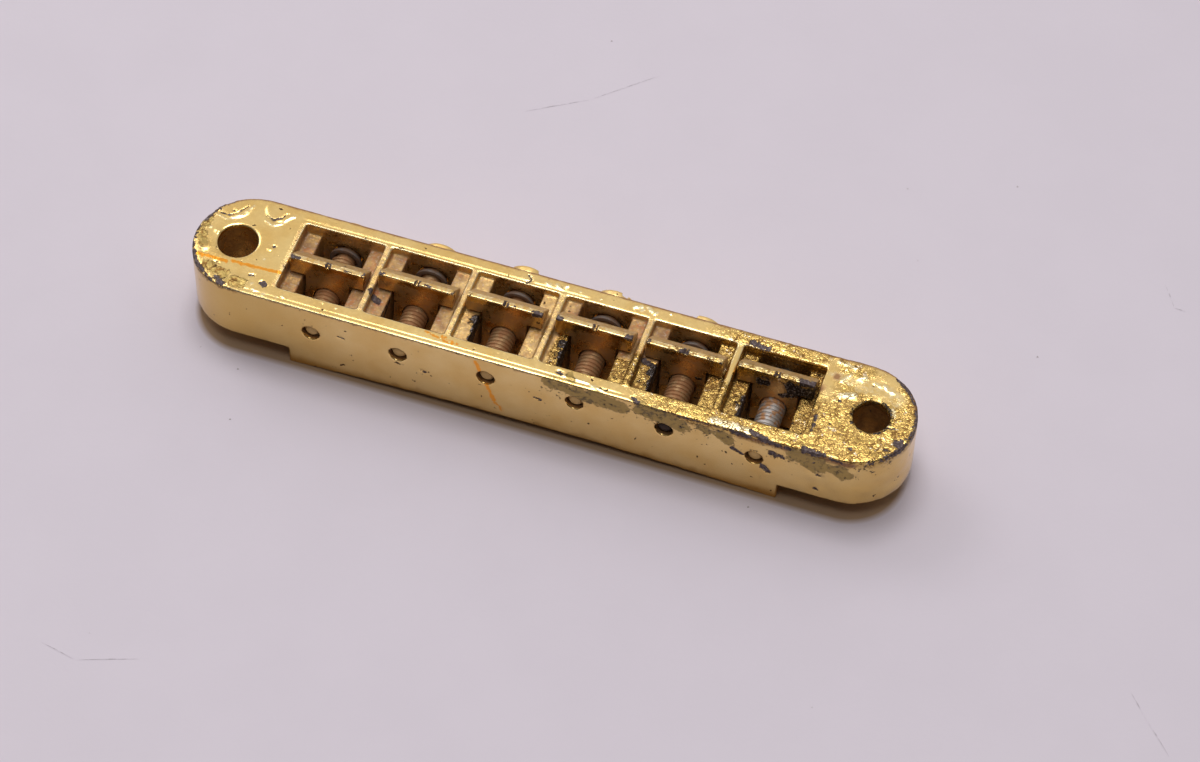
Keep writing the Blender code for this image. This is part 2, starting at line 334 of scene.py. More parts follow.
class Nodes:
    """Short ways to build one material's node tree."""

    def __init__(self, name: str) -> None:
        """Start a material with a Principled shader."""
        self.material = bpy.data.materials.new(name)
        self.material.use_nodes = True
        self.tree = self.material.node_tree
        self.shader = self.tree.nodes["Principled BSDF"]
        self.place = self.tree.nodes.new("ShaderNodeTexCoord").outputs["Object"]

    def link(self, source: bpy.types.NodeSocket, target: bpy.types.NodeSocket) -> None:
        """Join two sockets."""
        self.tree.links.new(source, target)

    def noise(self, grain: float, detail: float = 4.0, rough: float = 0.55) -> bpy.types.NodeSocket:
        """Noise whose grain is about a number of millimetres wide."""
        node = self.tree.nodes.new("ShaderNodeTexNoise")
        node.inputs["Scale"].default_value = 1.0 / (grain * MM)
        node.inputs["Detail"].default_value = detail
        node.inputs["Roughness"].default_value = rough
        self.link(self.place, node.inputs["Vector"])
        return node.outputs["Fac"]

    def seam(self, grain: float, detail: float) -> bpy.types.NodeSocket:
        """How far noise lies from its middle value: 0 along winding lines about a grain apart."""
        return self.math("ABSOLUTE", self.math("SUBTRACT", self.noise(grain, detail, 0.5), 0.5))

    def wear(self, wear: Wear) -> bpy.types.NodeSocket:
        """One kind of wear, as the mesh holds it."""
        node = self.tree.nodes.new("ShaderNodeAttribute")
        node.attribute_name = wear.value
        return node.outputs["Fac"]

    def math(self, operation: str, first: object, second: object = 0.0) -> bpy.types.NodeSocket:
        """Arithmetic on sockets or numbers."""
        node = self.tree.nodes.new("ShaderNodeMath")
        node.operation = operation
        for socket, value in zip(node.inputs, (first, second)):
            if isinstance(value, bpy.types.NodeSocket):
                self.link(value, socket)
            else:
                socket.default_value = value
        return node.outputs[0]

    def rise(self, value: bpy.types.NodeSocket, start: float, end: float,
             low: float = 0.0, high: float = 1.0) -> bpy.types.NodeSocket:
        """Map a value from start..end to low..high, and hold it there."""
        node = self.tree.nodes.new("ShaderNodeMapRange")
        for name, number in zip(("From Min", "From Max", "To Min", "To Max"), (start, end, low, high)):
            node.inputs[name].default_value = number
        self.link(value, node.inputs["Value"])
        return node.outputs["Result"]

    def mix(self, share: bpy.types.NodeSocket, first: object, second: object) -> bpy.types.NodeSocket:
        """Mix two colours by a share."""
        node = self.tree.nodes.new("ShaderNodeMix")
        node.data_type = "RGBA"
        self.link(share, node.inputs["Factor"])
        for socket, value in zip((node.inputs[6], node.inputs[7]), (first, second)):
            if isinstance(value, bpy.types.NodeSocket):
                self.link(value, socket)
            else:
                socket.default_value = (*value, 1.0)
        return node.outputs[2]

    def blend(self, share: bpy.types.NodeSocket, first: object, second: object) -> bpy.types.NodeSocket:
        """Mix two numbers by a share."""
        node = self.tree.nodes.new("ShaderNodeMix")
        self.link(share, node.inputs["Factor"])
        for socket, value in zip((node.inputs[2], node.inputs[3]), (first, second)):
            if isinstance(value, bpy.types.NodeSocket):
                self.link(value, socket)
            else:
                socket.default_value = value
        return node.outputs[0]

    def bump(self, height: bpy.types.NodeSocket, depth: float) -> None:
        """Give the shader a bump of a depth in millimetres."""
        node = self.tree.nodes.new("ShaderNodeBump")
        node.inputs["Strength"].default_value = 1.0
        node.inputs["Distance"].default_value = depth * MM
        self.link(height, node.inputs["Height"])
        self.link(node.outputs["Normal"], self.shader.inputs["Normal"])


@dataclass(frozen=True)
class WornGold:
    """Gold plating that is tarnished, chipped and rubbed through to the metal under it, with painted shade, highlights
    and glints in its colour.
    """

    name: str
    light: tuple[float, float, float] = (0.93, 0.67, 0.28)
    deep: tuple[float, float, float] = (0.86, 0.57, 0.20)
    # Pale gold of rubbed places and of painted highlights.
    pale: tuple[float, float, float] = (0.97, 0.82, 0.50)
    foil: tuple[float, float, float] = (0.66, 0.435, 0.13)
    # Dark cracks along the foil's creases, with painted shade in the creases.
    crease: tuple[float, float, float] = (0.24, 0.125, 0.035)
    # Painted shade on the near face.
    painted_shade: tuple[float, float, float] = (0.60, 0.39, 0.115)
    # Painted highlight: pale glints scattered over the crumpled foil.
    painted_glint: tuple[float, float, float] = (0.98, 0.82, 0.60)
    olive: tuple[float, float, float] = (0.40, 0.275, 0.09)
    spotted: tuple[float, float, float] = (0.17, 0.125, 0.06)
    slate: tuple[float, float, float] = (0.080, 0.053, 0.052)
    flake: tuple[float, float, float] = (0.24, 0.195, 0.19)
    copper: tuple[float, float, float] = (0.98, 0.40, 0.045)
    # Colour of dirt and of painted shade.
    grime_and_shade_tone: tuple[float, float, float] = (0.35, 0.185, 0.08)
    crevice: tuple[float, float, float] = (0.10, 0.050, 0.018)
    dust: tuple[float, float, float] = (0.33, 0.178, 0.088)
    rust: tuple[float, float, float] = (0.44, 0.15, 0.06)
    grit: tuple[float, float, float] = (0.60, 0.44, 0.32)
    crust: tuple[float, float, float] = (0.47, 0.33, 0.108)
    black: tuple[float, float, float] = (0.035, 0.024, 0.020)
    # Painted sparkle: grey glints in the black flakes.
    painted_sparkle: tuple[float, float, float] = (0.50, 0.45, 0.46)
    roughness: float = 0.19
    fold_depth: float = 0.11
    gloss_under_dirt: float = 0.3

    def material(self) -> bpy.types.Material:
        """Build the finish."""
        n = Nodes(self.name)
        fine = n.noise(0.35, 6.0, 0.65)
        folds = n.noise(0.9, 6.0, 0.62)
        frayed = n.rise(n.noise(0.6, 7.0, 0.72), 0.32, 0.68, -0.46, 0.46)
        torn = n.rise(n.noise(0.5, 8.0, 0.75), 0.34, 0.66, -0.55, 0.55)
        spread = n.rise(n.noise(1.5, 7.0, 0.70), 0.32, 0.68, -0.40, 0.40)
        wide_seam, seam, thin_seam = n.seam(1.2, 2.0), n.seam(0.65, 2.0), n.seam(0.42, 2.0)

        def share(wear: Wear, edge: bpy.types.NodeSocket, start: float, end: float) -> bpy.types.NodeSocket:
            """Where one kind of wear shows, with a ragged edge."""
            value = n.wear(wear)
            moved = n.math("MULTIPLY", edge, n.rise(value, 0.02, 0.15))
            return n.rise(n.math("ADD", value, moved), start, end)

        crinkle = n.rise(n.math("ADD", n.wear(Wear.CRINKLE), n.math("MULTIPLY", spread, 0.5)), 0.15, 0.8)
        fold = n.math("ABSOLUTE", n.math("SUBTRACT", folds, 0.5))
        grime_and_shade = share(Wear.GRIME_AND_SHADE, spread, 0.1, 0.9)
        dust = share(Wear.DUST, frayed, 0.1, 1.1)
        tarnish = share(Wear.TARNISH, spread, 0.44, 0.60)
        crust = share(Wear.CRUST, frayed, 0.42, 0.62)
        chip = share(Wear.CHIP, torn, 0.47, 0.53)
        speck = n.rise(n.noise(0.8, 2.0, 0.5), 0.715, 0.735)
        folded = n.math("MAXIMUM", crinkle, crust)
        small = n.rise(n.wear(Wear.CRINKLE), 0.80, 0.95)
        mottled = n.math("ADD", n.noise(0.8, 10.0, 0.8), n.rise(small, 0.0, 1.0, -0.07, 0.0))
        dark = n.math("MULTIPLY", crinkle, n.rise(mottled, 0.52, 0.60, 0.0, 0.7))
        black = share(Wear.BLACK, frayed, 0.42, 0.56)
        # Dark lines along the same seams that fold the bump: cracks with painted shade in the creases.
        broken = n.rise(n.noise(1.1, 5.0), 0.42, 0.50)
        cracks_and_crease_shade = n.math("MULTIPLY", n.rise(seam, 0.050, 0.022), broken)
        cracks_and_crease_shade = n.math("MAXIMUM", cracks_and_crease_shade, n.math("MULTIPLY", n.rise(wide_seam, 0.032, 0.014), broken))
        cracks_and_crease_shade = n.math("MAXIMUM", cracks_and_crease_shade, n.math("MULTIPLY", n.rise(thin_seam, 0.05, 0.015), small))
        cracks_and_crease_shade = n.math("MULTIPLY", cracks_and_crease_shade, folded)
        # Painted glints on the crumpled foil.
        painted_glint = n.math("MULTIPLY", n.rise(n.noise(0.7, 4.0, 0.6), 0.62, 0.66), crinkle)
        outline = n.math("MULTIPLY", n.rise(n.math("ABSOLUTE", n.math("SUBTRACT", tarnish, 0.5)), 0.45, 0.1), 0.5)

        colour = n.mix(n.rise(n.noise(4.0, 3.0), 0.35, 0.65), self.light, self.deep)
        colour = n.mix(crinkle, colour, self.foil)
        colour = n.mix(share(Wear.PALE, frayed, 0.1, 0.9), colour, self.pale)
        rusty = n.mix(n.rise(n.noise(0.9, 5.0, 0.65), 0.51, 0.60), self.dust, self.rust)
        rusty = n.mix(n.rise(n.noise(0.3, 5.0, 0.7), 0.53, 0.63), rusty, self.grit)
        stained = n.mix(n.rise(n.noise(0.7, 6.0, 0.7), 0.52, 0.62), self.olive, self.spotted)
        flaked = n.mix(n.rise(n.noise(0.3, 5.0, 0.7), 0.50, 0.64), self.slate, self.flake)
        # The black flakes with painted sparkle.
        black_with_painted_sparkle = n.mix(n.rise(n.noise(0.2, 4.0, 0.65), 0.55, 0.64), self.black, self.painted_sparkle)
        for layer, tone in (
                (crust, self.crust), (dark, tuple(0.42 * value for value in self.foil)), (painted_glint, self.painted_glint),
                (n.wear(Wear.PAINTED_SHADE), self.painted_shade), (grime_and_shade, self.grime_and_shade_tone),
                (dust, rusty), (cracks_and_crease_shade, self.crease), (tarnish, stained), (outline, self.spotted),
                (share(Wear.COPPER, frayed, 0.35, 0.6), self.copper), (speck, self.crevice), (chip, flaked),
                (black, black_with_painted_sparkle)):
            colour = n.mix(layer, colour, tone)
        n.link(colour, n.shader.inputs["Base Color"])
        rough = n.rise(fine, 0.3, 0.7, self.roughness - 0.05, self.roughness + 0.06)
        solid = n.rise(speck, 0.0, 1.0, 1.0, 0.8)
        for layer, roughness, metallic in ((tarnish, 0.32, 0.95), (grime_and_shade, 0.46, 0.55), (dust, 0.60, 0.35),
                                           (cracks_and_crease_shade, 0.5, 0.85), (crust, 0.36, 0.90), (chip, 0.45, 0.35),
                                           (black, 0.40, 0.60)):
            rough = n.blend(layer, rough, roughness)
            solid = n.blend(layer, solid, metallic)
        n.link(rough, n.shader.inputs["Roughness"])
        n.link(solid, n.shader.inputs["Metallic"])
        layers = ((n.math("MULTIPLY", folded, fold), 0.55), (n.math("MULTIPLY", folded, wide_seam), 0.75),
                  (n.math("MULTIPLY", folded, n.rise(seam, 0.0, 0.08)), 0.16),
                  (n.math("MULTIPLY", folded, thin_seam), 0.6),
                  (n.math("MULTIPLY", folded, n.math("MULTIPLY", small, fine)), 0.8),
                  (n.noise(1.8, 2.0), 0.07), (fine, 0.010), (n.math("MULTIPLY", n.wear(Wear.PALE), fine), 0.20),
                  (dust, 0.08), (n.math("MULTIPLY", dust, fine), 0.30), (chip, -0.30), (speck, -0.15), (n.math("MULTIPLY", black, fine), 0.8))
        height = 0.0
        for layer, share_of_depth in layers:
            height = n.math("ADD", height, n.math("MULTIPLY", layer, share_of_depth))
        n.bump(height, self.fold_depth)
        n.shader.inputs["Specular IOR Level"].default_value = self.gloss_under_dirt
        return n.material


@dataclass(frozen=True)
class WornSteel:
    """Steel with rust or old plating in patches, and its gilding left where the mesh says so."""

    name: str
    metal: tuple[float, float, float] = (0.42, 0.40, 0.38)
    rust: tuple[float, float, float] = (0.40, 0.20, 0.10)
    gilt: tuple[float, float, float] = (0.66, 0.45, 0.18)
    rusted: float = 0.5
    roughness: float = 0.54
    grain: float = 0.03

    def material(self) -> bpy.types.Material:
        """Build the finish."""
        n = Nodes(self.name)
        patches = n.noise(0.9, 5.0, 0.6)
        share = n.rise(patches, 0.62 - self.rusted * 0.4, 0.72 - self.rusted * 0.4)
        colour = n.mix(share, self.metal, self.rust)
        n.link(n.mix(n.wear(Wear.PALE), colour, self.gilt), n.shader.inputs["Base Color"])
        n.link(n.rise(share, 0.0, 1.0, self.roughness, self.roughness + 0.12), n.shader.inputs["Roughness"])
        n.link(n.rise(share, 0.0, 1.0, 0.8, 0.5), n.shader.inputs["Metallic"])
        n.bump(n.noise(0.12, 5.0, 0.6), self.grain)
        return n.material


@dataclass(frozen=True)
class Bay:
    """One bay's places, read from the frame, in millimetres."""

    number: int
    axis: Vector
    saddle_low: Vector
    saddle_high: Vector
    screw_low: Vector
    screw_high: Vector
    ring_low: Vector
    ring_high: Vector

    @classmethod
    def read(cls, number: int) -> "Bay":
        """Read a bay from the frame."""
        joint = next(j for j in frame["joints"] if j["name"] == f"screw_{number}_turn")
        boxes = []
        for node in ("saddle", "intonation_screw", "retaining_ring"):
            boxes += [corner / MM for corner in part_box(f"{node}_{number}")]
        return cls(number, Vector(joint["pos_m"]) / MM, *boxes)


@dataclass(frozen=True)
class Mark:
    """A worn place: a thick line between two points of a surface, in millimetres."""

    wear: Wear
    start: tuple[float, float, float]
    end: tuple[float, float, float]
    reach: float

    def share(self, points: np.ndarray) -> np.ndarray:
        """How far inside the mark each point lies: a half at its border, 1 well inside."""
        start = np.array(self.start)
        along = np.array(self.end) - start
        length = float(along @ along)
        part = np.clip((points - start) @ along / length, 0, 1) if length else np.zeros(len(points))
        distance = np.linalg.norm(points - start - part[:, None] * along, axis=1)
        ramp = min(max(1.2 * self.reach, 0.25), 1.2)
        return np.clip(0.5 + (self.reach - distance) / ramp, 0, 1)


def gather(marks: Sequence[Mark], wear: Wear, points: np.ndarray) -> np.ndarray:
    """The strongest mark of one kind at each point."""
    total = np.zeros(len(points))
    for mark in marks:
        if mark.wear is wear:
            total = np.maximum(total, mark.share(points))
    return total


@dataclass(frozen=True)
class Blister:
    """A place where the plating has lifted, with its step towards the near side."""

    x: float
    y: float
    radius: float
    height: float = 0.16

    def lift(self, points: np.ndarray) -> np.ndarray:
        """How far the blister lifts each point."""
        distance = np.hypot(points[:, 0] - self.x, points[:, 1] - self.y)
        plateau = step_up(distance, self.radius, self.radius - 0.3)
        return self.height * plateau * step_up(points[:, 1] - self.y, 0.9 * self.radius, -0.5 * self.radius)


@dataclass
class CastBar:
    """The bar: two seats with stud holes, six bays with rails, and the wear of its plating, with painted shade and
    highlights.
    """

    bays: Sequence[Bay]
    near_wall: float = 2.06
    far_wall: float = 1.9
    slot_width: float = 5.8
    rail_above_axis: float = 2.5
    slot_below_axis: float = 3.1
    rib: float = 0.9
    rib_round: float = 0.18
    seat_height: float = 2.4
    foot_span: float = 57.45
    foot_land: float = 1.4
    underside_rise: float = 0.9
    stud_spacing: float = 74.0
    stud_hole: float = 4.5
    chamfer: float = 0.15
    near_hole: float = 2.1
    far_hole: float = 3.5
    voxel: float = 0.13
    low: Vector = field(default_factory=lambda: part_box("bridge_body")[0] / MM)
    high: Vector = field(default_factory=lambda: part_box("bridge_body")[1] / MM)

    def __post_init__(self) -> None:
        """Work out what follows from the box."""
        self.middle = (self.low + self.high) / 2
        self.radius = (self.high.y - self.low.y) / 2
        self.bay_width = self.bays[1].axis.x - self.bays[0].axis.x - self.rib

    def blank(self) -> bpy.types.Mesh:
        """The bar before it is cut."""
        reach = self.high.x - self.radius
        outline = []
        for side in (1, -1):
            for step in range(49):
                angle = math.pi * (step / 48 - 0.5)
                x = side * (reach + self.radius * math.cos(angle))
                outline.append((x, self.middle.y + side * self.radius * math.sin(angle), 0))
        return mesh_from(prism(outline, (0, 0, self.high.z)), "bar_blank")

    def carve(self) -> bpy.types.Mesh:
        """Cut the seats, arch, bays and holes, and soften the result."""
        carving = Carving(self.blank(), "bar_carving")
        far = 60.0
        for side in (-1, 1):
            xs = sorted((side * self.foot_span / 2, side * far))
            carving.cut(box((xs[0], -far, -far), (xs[1], far, self.seat_height)))
            carving.cut(self.stud_hole_solid(side * self.stud_spacing / 2))
        carving.cut(self.arch_solid())
        for bay in self.bays:
            self.cut_bay(carving, bay)
        return carving.soften(self.voxel, 5)

    def stud_hole_solid(self, x: float) -> bmesh.types.BMesh:
        """A stud hole with its two chamfers."""
        radius = self.stud_hole / 2
        wide = radius + 2 * self.chamfer
        bm = turned([
            (wide, self.seat_height - self.chamfer), (radius, self.seat_height + self.chamfer),
            (radius, self.high.z - self.chamfer), (wide, self.high.z + self.chamfer)], 48)
        stand = Matrix(((1, 0, 0), (0, 0, -1), (0, 1, 0))).to_4x4()
        bmesh.ops.transform(bm, matrix=Matrix.Translation((x, self.middle.y, 0)) @ stand, verts=bm.verts)
        return bm

    def arch_solid(self) -> bmesh.types.BMesh:
        """The shallow arch under the middle."""
        half = self.foot_span / 2 - self.foot_land
        radius = (half ** 2 + self.underside_rise ** 2) / (2 * self.underside_rise)
        outline = [(half, -20, -5)]
        for step in range(33):
            angle = math.asin(half / radius) * (1 - step / 16)
            outline.append((radius * math.sin(angle), -20, self.underside_rise - radius * (1 - math.cos(angle))))
        outline.append((-half, -20, -5))
        return prism(outline, (0, 40, 0))

    def cut_bay(self, carving: Carving, bay: Bay) -> None:
        """Cut one bay and its two screw holes."""
        near = self.low.y + self.near_wall
        far = self.high.y - self.far_wall
        x, z = bay.axis.x, bay.axis.z
        top = self.high.z + 5
        carving.cut(box((x - self.bay_width / 2, near, z + self.rail_above_axis),
                        (x + self.bay_width / 2, far, top)))
        half, rise = self.bay_width / 2, self.rib_round
        left = 0 if bay is self.bays[0] else 2 * rise
        right = 0 if bay is self.bays[-1] else 2 * rise
        carving.cut(prism([(x - half, near, self.high.z - rise), (x + half, near, self.high.z - rise),
                           (x + half + right, near, self.high.z + rise),
                           (x - half - left, near, self.high.z + rise)], (0, far - near, 0)))
        carving.cut(box((x - self.slot_width / 2, near, z - self.slot_below_axis),
                        (x + self.slot_width / 2, far, top)))
        middle = (near + far) / 2
        holes = turned([(self.near_hole / 2, self.low.y - 5), (self.near_hole / 2, middle),
                        (self.far_hole / 2, middle), (self.far_hole / 2, self.high.y + 5)], 32)
        bmesh.ops.translate(holes, verts=holes.verts, vec=(x, 0, z))
        carving.cut(holes)

    def on_top(self, wear: Wear, start: tuple[float, float], end: tuple[float, float], reach: float) -> Mark:
        """A mark on the top face."""
        return Mark(wear, (*start, self.high.z), (*end, self.high.z), reach)

    def on_front(self, wear: Wear, start: tuple[float, float], end: tuple[float, float], reach: float) -> Mark:
        """A mark on the near face, placed by x and z."""
        return Mark(wear, (start[0], self.low.y, start[1]), (end[0], self.low.y, end[1]), reach)

    def marks(self) -> list[Mark]:
        """The worn places that stand out one by one."""
        top, front = self.on_top, self.on_front
        return [
            top(Wear.COPPER, (-40.6, -3.8), (-37.1, -3.8), 0.20),
            top(Wear.COPPER, (-36.6, -3.6), (-30.9, -3.4), 0.20),
            front(Wear.COPPER, (-6.3, 9.6), (-5.7, 7.6), 0.20),
            front(Wear.COPPER, (-5.0, 5.9), (-4.2, 3.4), 0.22),
            front(Wear.COPPER, (-3.9, 3.0), (-3.2, 2.2), 0.12),
            top(Wear.COPPER, (-12.8, -5.7), (-9.4, -6.5), 0.12),
            top(Wear.COPPER, (-10.8, -5.7), (-7.8, -6.6), 0.08),
            top(Wear.CHIP, (-39.0, 3.2), (-39.0, 3.2), 0.16),
            top(Wear.CHIP, (-32.9, -0.2), (-32.8, -0.1), 0.16),
            top(Wear.CHIP, (-33.9, -4.8), (-33.5, -4.7), 0.14),
            top(Wear.CHIP, (-38.4, -4.3), (-38.0, -4.3), 0.14),
            top(Wear.CHIP, (-32.3, -5.4), (-31.9, -5.6), 0.30),
            top(Wear.CHIP, (-37.2, -6.4), (-36.4, -7.0), 0.42),
            top(Wear.CHIP, (-41.6, 1.0), (-41.2, 2.4), 0.24),
            top(Wear.CHIP, (-41.6, -3.1), (-40.4, -4.8), 0.26),
            top(Wear.CHIP, (-40.4, -4.8), (-39.2, -5.9), 0.30),
            top(Wear.CHIP, (-39.2, -6.0), (-37.6, -6.95), 0.15),
            top(Wear.CHIP, (-37.6, -6.95), (-36.0, -7.35), 0.14),
            top(Wear.CHIP, (-35.8, -7.4), (-34.2, -7.45), 0.12),
            top(Wear.CHIP, (-20.5, -2.3), (-20.3, -2.6), 0.28),
            top(Wear.CHIP, (-40.2, 4.0), (-39.6, 4.4), 0.22),
            top(Wear.CHIP, (-4.6, 5.5), (-4.1, 5.0), 0.13),
            top(Wear.CHIP, (-4.0, 4.9), (-4.4, 4.4), 0.13),
            top(Wear.CHIP, (31.3, -2.5), (31.4, -4.6), 0.16),
            top(Wear.CHIP, (38.9, -1.7), (39.8, -1.5), 0.14),
            top(Wear.CHIP, (39.6, -4.5), (40.2, -4.4), 0.16),
            *(top(wear, place, place, reach) for wear, place, reach in (
                (Wear.GRIME_AND_SHADE, (31.9, 3.2), 0.42), (Wear.CHIP, (33.2, 0.2), 0.16), (Wear.CHIP, (33.0, -3.1), 0.16),
                (Wear.CHIP, (36.1, -5.6), 0.20), (Wear.CHIP, (36.1, 3.4), 0.16), (Wear.GRIME_AND_SHADE, (30.7, 1.2), 0.50))),
            top(Wear.CHIP, (38.3, 5.2), (39.9, 3.9), 0.22),
            top(Wear.CHIP, (39.9, 3.9), (41.0, 2.4), 0.14),
            top(Wear.CHIP, (21.8, 4.7), (23.7, 4.4), 0.36),
            top(Wear.CHIP, (2.9, -6.2), (3.3, -6.3), 0.22),
            top(Wear.CHIP, (11.8, -6.9), (12.3, -7.3), 0.28),
            top(Wear.CHIP, (25.4, -6.9), (27.0, -7.4), 0.34),
            top(Wear.CHIP, (31.4, -7.2), (33.6, -7.4), 0.34),
            top(Wear.CHIP, (40.9, -3.2), (41.9, -4.2), 0.62),
            front(Wear.CHIP, (27.8, 8.1), (29.0, 7.7), 0.38),
            front(Wear.CHIP, (26.9, 5.3), (27.6, 4.5), 0.34),
            front(Wear.CHIP, (23.4, 7.0), (24.6, 6.3), 0.24),
            front(Wear.CHIP, (23.2, 9.9), (25.2, 9.8), 0.32),
            front(Wear.CHIP, (26.4, 9.9), (28.6, 9.7), 0.36),
            front(Wear.CHIP, (29.4, 9.8), (29.8, 9.7), 0.26),
            front(Wear.CHIP, (31.3, 9.9), (33.4, 9.8), 0.26),
            front(Wear.CHIP, (34.4, 9.9), (35.6, 9.8), 0.18),
            front(Wear.GRIME_AND_SHADE, (24.0, 9.6), (33.0, 9.5), 0.30),
            front(Wear.CHIP, (12.5, 10.0), (23.0, 10.0), 0.09),
            front(Wear.CHIP, (33.1, 6.4), (33.4, 6.2), 0.18),
            front(Wear.CHIP, (37.6, 7.2), (37.9, 7.0), 0.20),
            front(Wear.CHIP, (39.7, 7.9), (39.9, 6.9), 0.24),
            front(Wear.CHIP, (33.0, 3.9), (33.2, 3.7), 0.16),
            front(Wear.CHIP, (-12.9, 5.2), (-12.2, 5.0), 0.14),
            front(Wear.CHIP, (0.6, 6.0), (1.3, 5.9), 0.14),
            front(Wear.CHIP, (-22.6, 7.0), (-21.9, 6.9), 0.12),
            front(Wear.TARNISH, (2.2, 9.6), (5.0, 9.0), 0.80),
            front(Wear.TARNISH, (5.6, 9.0), (10.4, 8.8), 1.15),
            front(Wear.TARNISH, (13.0, 9.4), (17.4, 8.4), 1.10),
            front(Wear.TARNISH, (19.8, 9.2), (20.4, 8.8), 0.60),
            front(Wear.TARNISH, (22.0, 8.8), (22.8, 8.2), 0.90),
            front(Wear.TARNISH, (30.8, 8.8), (33.0, 8.2), 1.30),
            front(Wear.TARNISH, (35.4, 8.2), (36.0, 7.8), 1.05),
            front(Wear.GRIME_AND_SHADE, (33.6, 9.7), (39.4, 9.5), 0.35),
            top(Wear.TARNISH, (4.2, -6.3), (4.8, -6.7), 0.45),
            top(Wear.CRUST, (-41.4, -0.6), (-40.6, -2.2), 0.55),
            top(Wear.CRUST, (-41.2, 1.6), (-41.3, 0.4), 0.45),
            top(Wear.CRUST, (-39.0, -5.0), (-36.6, -5.6), 0.60),
            top(Wear.CRUST, (-35.6, -6.2), (-34.4, -6.2), 0.70),
            # Pale streaks and spots: painted highlights on smooth gold, partly pale crumbs on the far wall.
            top(Wear.PALE, (20.9, -6.8), (25.0, -7.0), 0.40),
            *self.lifted_edges(),
            *(top(Wear.PALE, start, end, reach) for start, end, reach in (
                ((-2.4, 5.1), (-1.9, 4.9), 0.12), ((-1.2, 5.2), (-0.6, 4.8), 0.20), ((-0.2, 5.3), (0.1, 5.4), 0.12),
                ((8.0, 5.0), (8.7, 5.4), 0.22), ((8.9, 4.8), (9.1, 5.1), 0.12), ((9.4, 5.5), (10.0, 5.1), 0.20),
                ((10.4, 4.9), (10.6, 5.2), 0.12), ((32.6, 2.9), (33.3, 3.9), 0.20), ((34.4, 3.8), (35.0, 4.1), 0.20),
                ((36.4, 3.7), (36.8, 3.5), 0.16), ((37.2, 3.7), (37.7, 3.3), 0.22), ((38.1, 3.2), (38.6, 3.1), 0.16),
                ((33.2, 0.9), (34.4, 1.4), 0.34), ((39.0, 0.9), (39.3, 0.1), 0.22),
                ((31.6, 5.3), (33.8, 5.0), 0.16), ((3.6, -6.5), (6.4, -6.6), 0.12), ((6.9, -6.8), (8.2, -7.0), 0.15))),
            *(top(Wear.PALE, place, place, reach) for place, reach in (
                ((1.6, 5.1), 0.10), ((4.1, 4.9), 0.12), ((12.1, 5.5), 0.14), ((-29.4, -6.5), 0.14),
                ((-30.0, -6.8), 0.10), ((-24.9, -5.8), 0.10), ((-23.2, -6.0), 0.10), ((-32.8, -6.6), 0.16),
                ((-31.6, -6.9), 0.18), ((-33.3, -5.9), 0.12), ((-37.1, -2.9), 0.12), ((-33.2, -2.2), 0.12),
                ((-40.6, 0.2), 0.12))),
            *self.bay_marks(),
        ]

    def lifted_edges(self) -> list[Mark]:
        """The painted highlights on the lifted edges of the two large blisters, with a crack beside each."""
        edges = (
            (Wear.PALE, 0.08, ((-40.6, 2.1), (-39.2, 1.8), (-37.9, 3.0), (-37.1, 4.6))),
            (Wear.CHIP, 0.09, ((-40.3, 2.5), (-39.2, 2.4), (-38.3, 3.3), (-37.7, 4.4))),
            (Wear.PALE, 0.10, ((-35.1, 3.0), (-34.2, 2.6), (-33.2, 3.2), (-32.8, 4.2), (-32.2, 4.6))),
            (Wear.CHIP, 0.09, ((-35.3, 3.7), (-34.3, 3.3), (-33.5, 3.9), (-33.1, 4.7))),
        )
        return [self.on_top(wear, start, end, reach)
                for wear, reach, places in edges for start, end in zip(places, places[1:])]

    def bay_marks(self) -> list[Mark]:
        """The dark crusts on the slots' left walls and on the rails."""
        half = self.slot_width / 2
        level = self.high.z - 0.95
        marks = [Mark(Wear.CHIP, (-21.3, -2.1, level), (-19.5, -2.9, level), 0.36),
                 Mark(Wear.CHIP, (11.1, -1.0, level), (12.7, -1.3, level), 0.35),
                 Mark(Wear.BLACK, (1.4, -1.4, level), (1.9, -4.8, level), 0.16)]
        for number, reach in ((2, 0.3), (3, 0.9), (4, 1.0), (5, 1.0), (6, 0.9)):
            axis = self.bays[number - 1].axis
            x, top = axis.x - half, axis.z + self.rail_above_axis
            marks.append(Mark(Wear.BLACK, (x, -4.6, top - 1.6), (x, -2.0, top - 0.6), reach))
            marks.append(Mark(Wear.BLACK, (x, -4.6, top - 0.2), (x, -2.0, top - 0.2), 0.32 * reach))
        return marks

    def blisters(self) -> list[Blister]:
        """The places where the plating has lifted."""
        return [Blister(-39.2, 4.2, 2.2, 0.06), Blister(-34.0, 5.1, 1.9, 0.06), Blister(-40.4, -2.4, 0.9, 0.10),
                Blister(-39.6, 0.0, 0.5, 0.10), Blister(-35.2, -5.6, 1.1, 0.08), Blister(-33.2, -0.6, 0.4, 0.06)]

    def pale_edge_and_highlight(self, points: np.ndarray, normals: np.ndarray) -> np.ndarray:
        """How pale each rounded top edge is painted at each point: a painted highlight along the tilted faces of the
        rounded edges, partly rubbed wear.
        """
        tilt = step_up(normals[:, 2], 0.42, 0.62) * step_up(normals[:, 2], 0.985, 0.93)
        tilt *= 0.2 + 0.8 * step_up(points[:, 0], 27.0, 22.0)
        tilt *= 0.15 + 0.85 * step_up(points[:, 0], -37.0, -33.5)
        tilt *= 1 - 0.6 * step_up(np.abs(normals[:, 0]), 0.25, 0.5) * step_up(np.abs(points[:, 0]), 32.0, 31.5)
        tilt *= 1 - 0.85 * self.foil_zone(points)
        return 0.9 * tilt * step_up(points[:, 2], self.high.z - 0.7, self.high.z - 0.45)

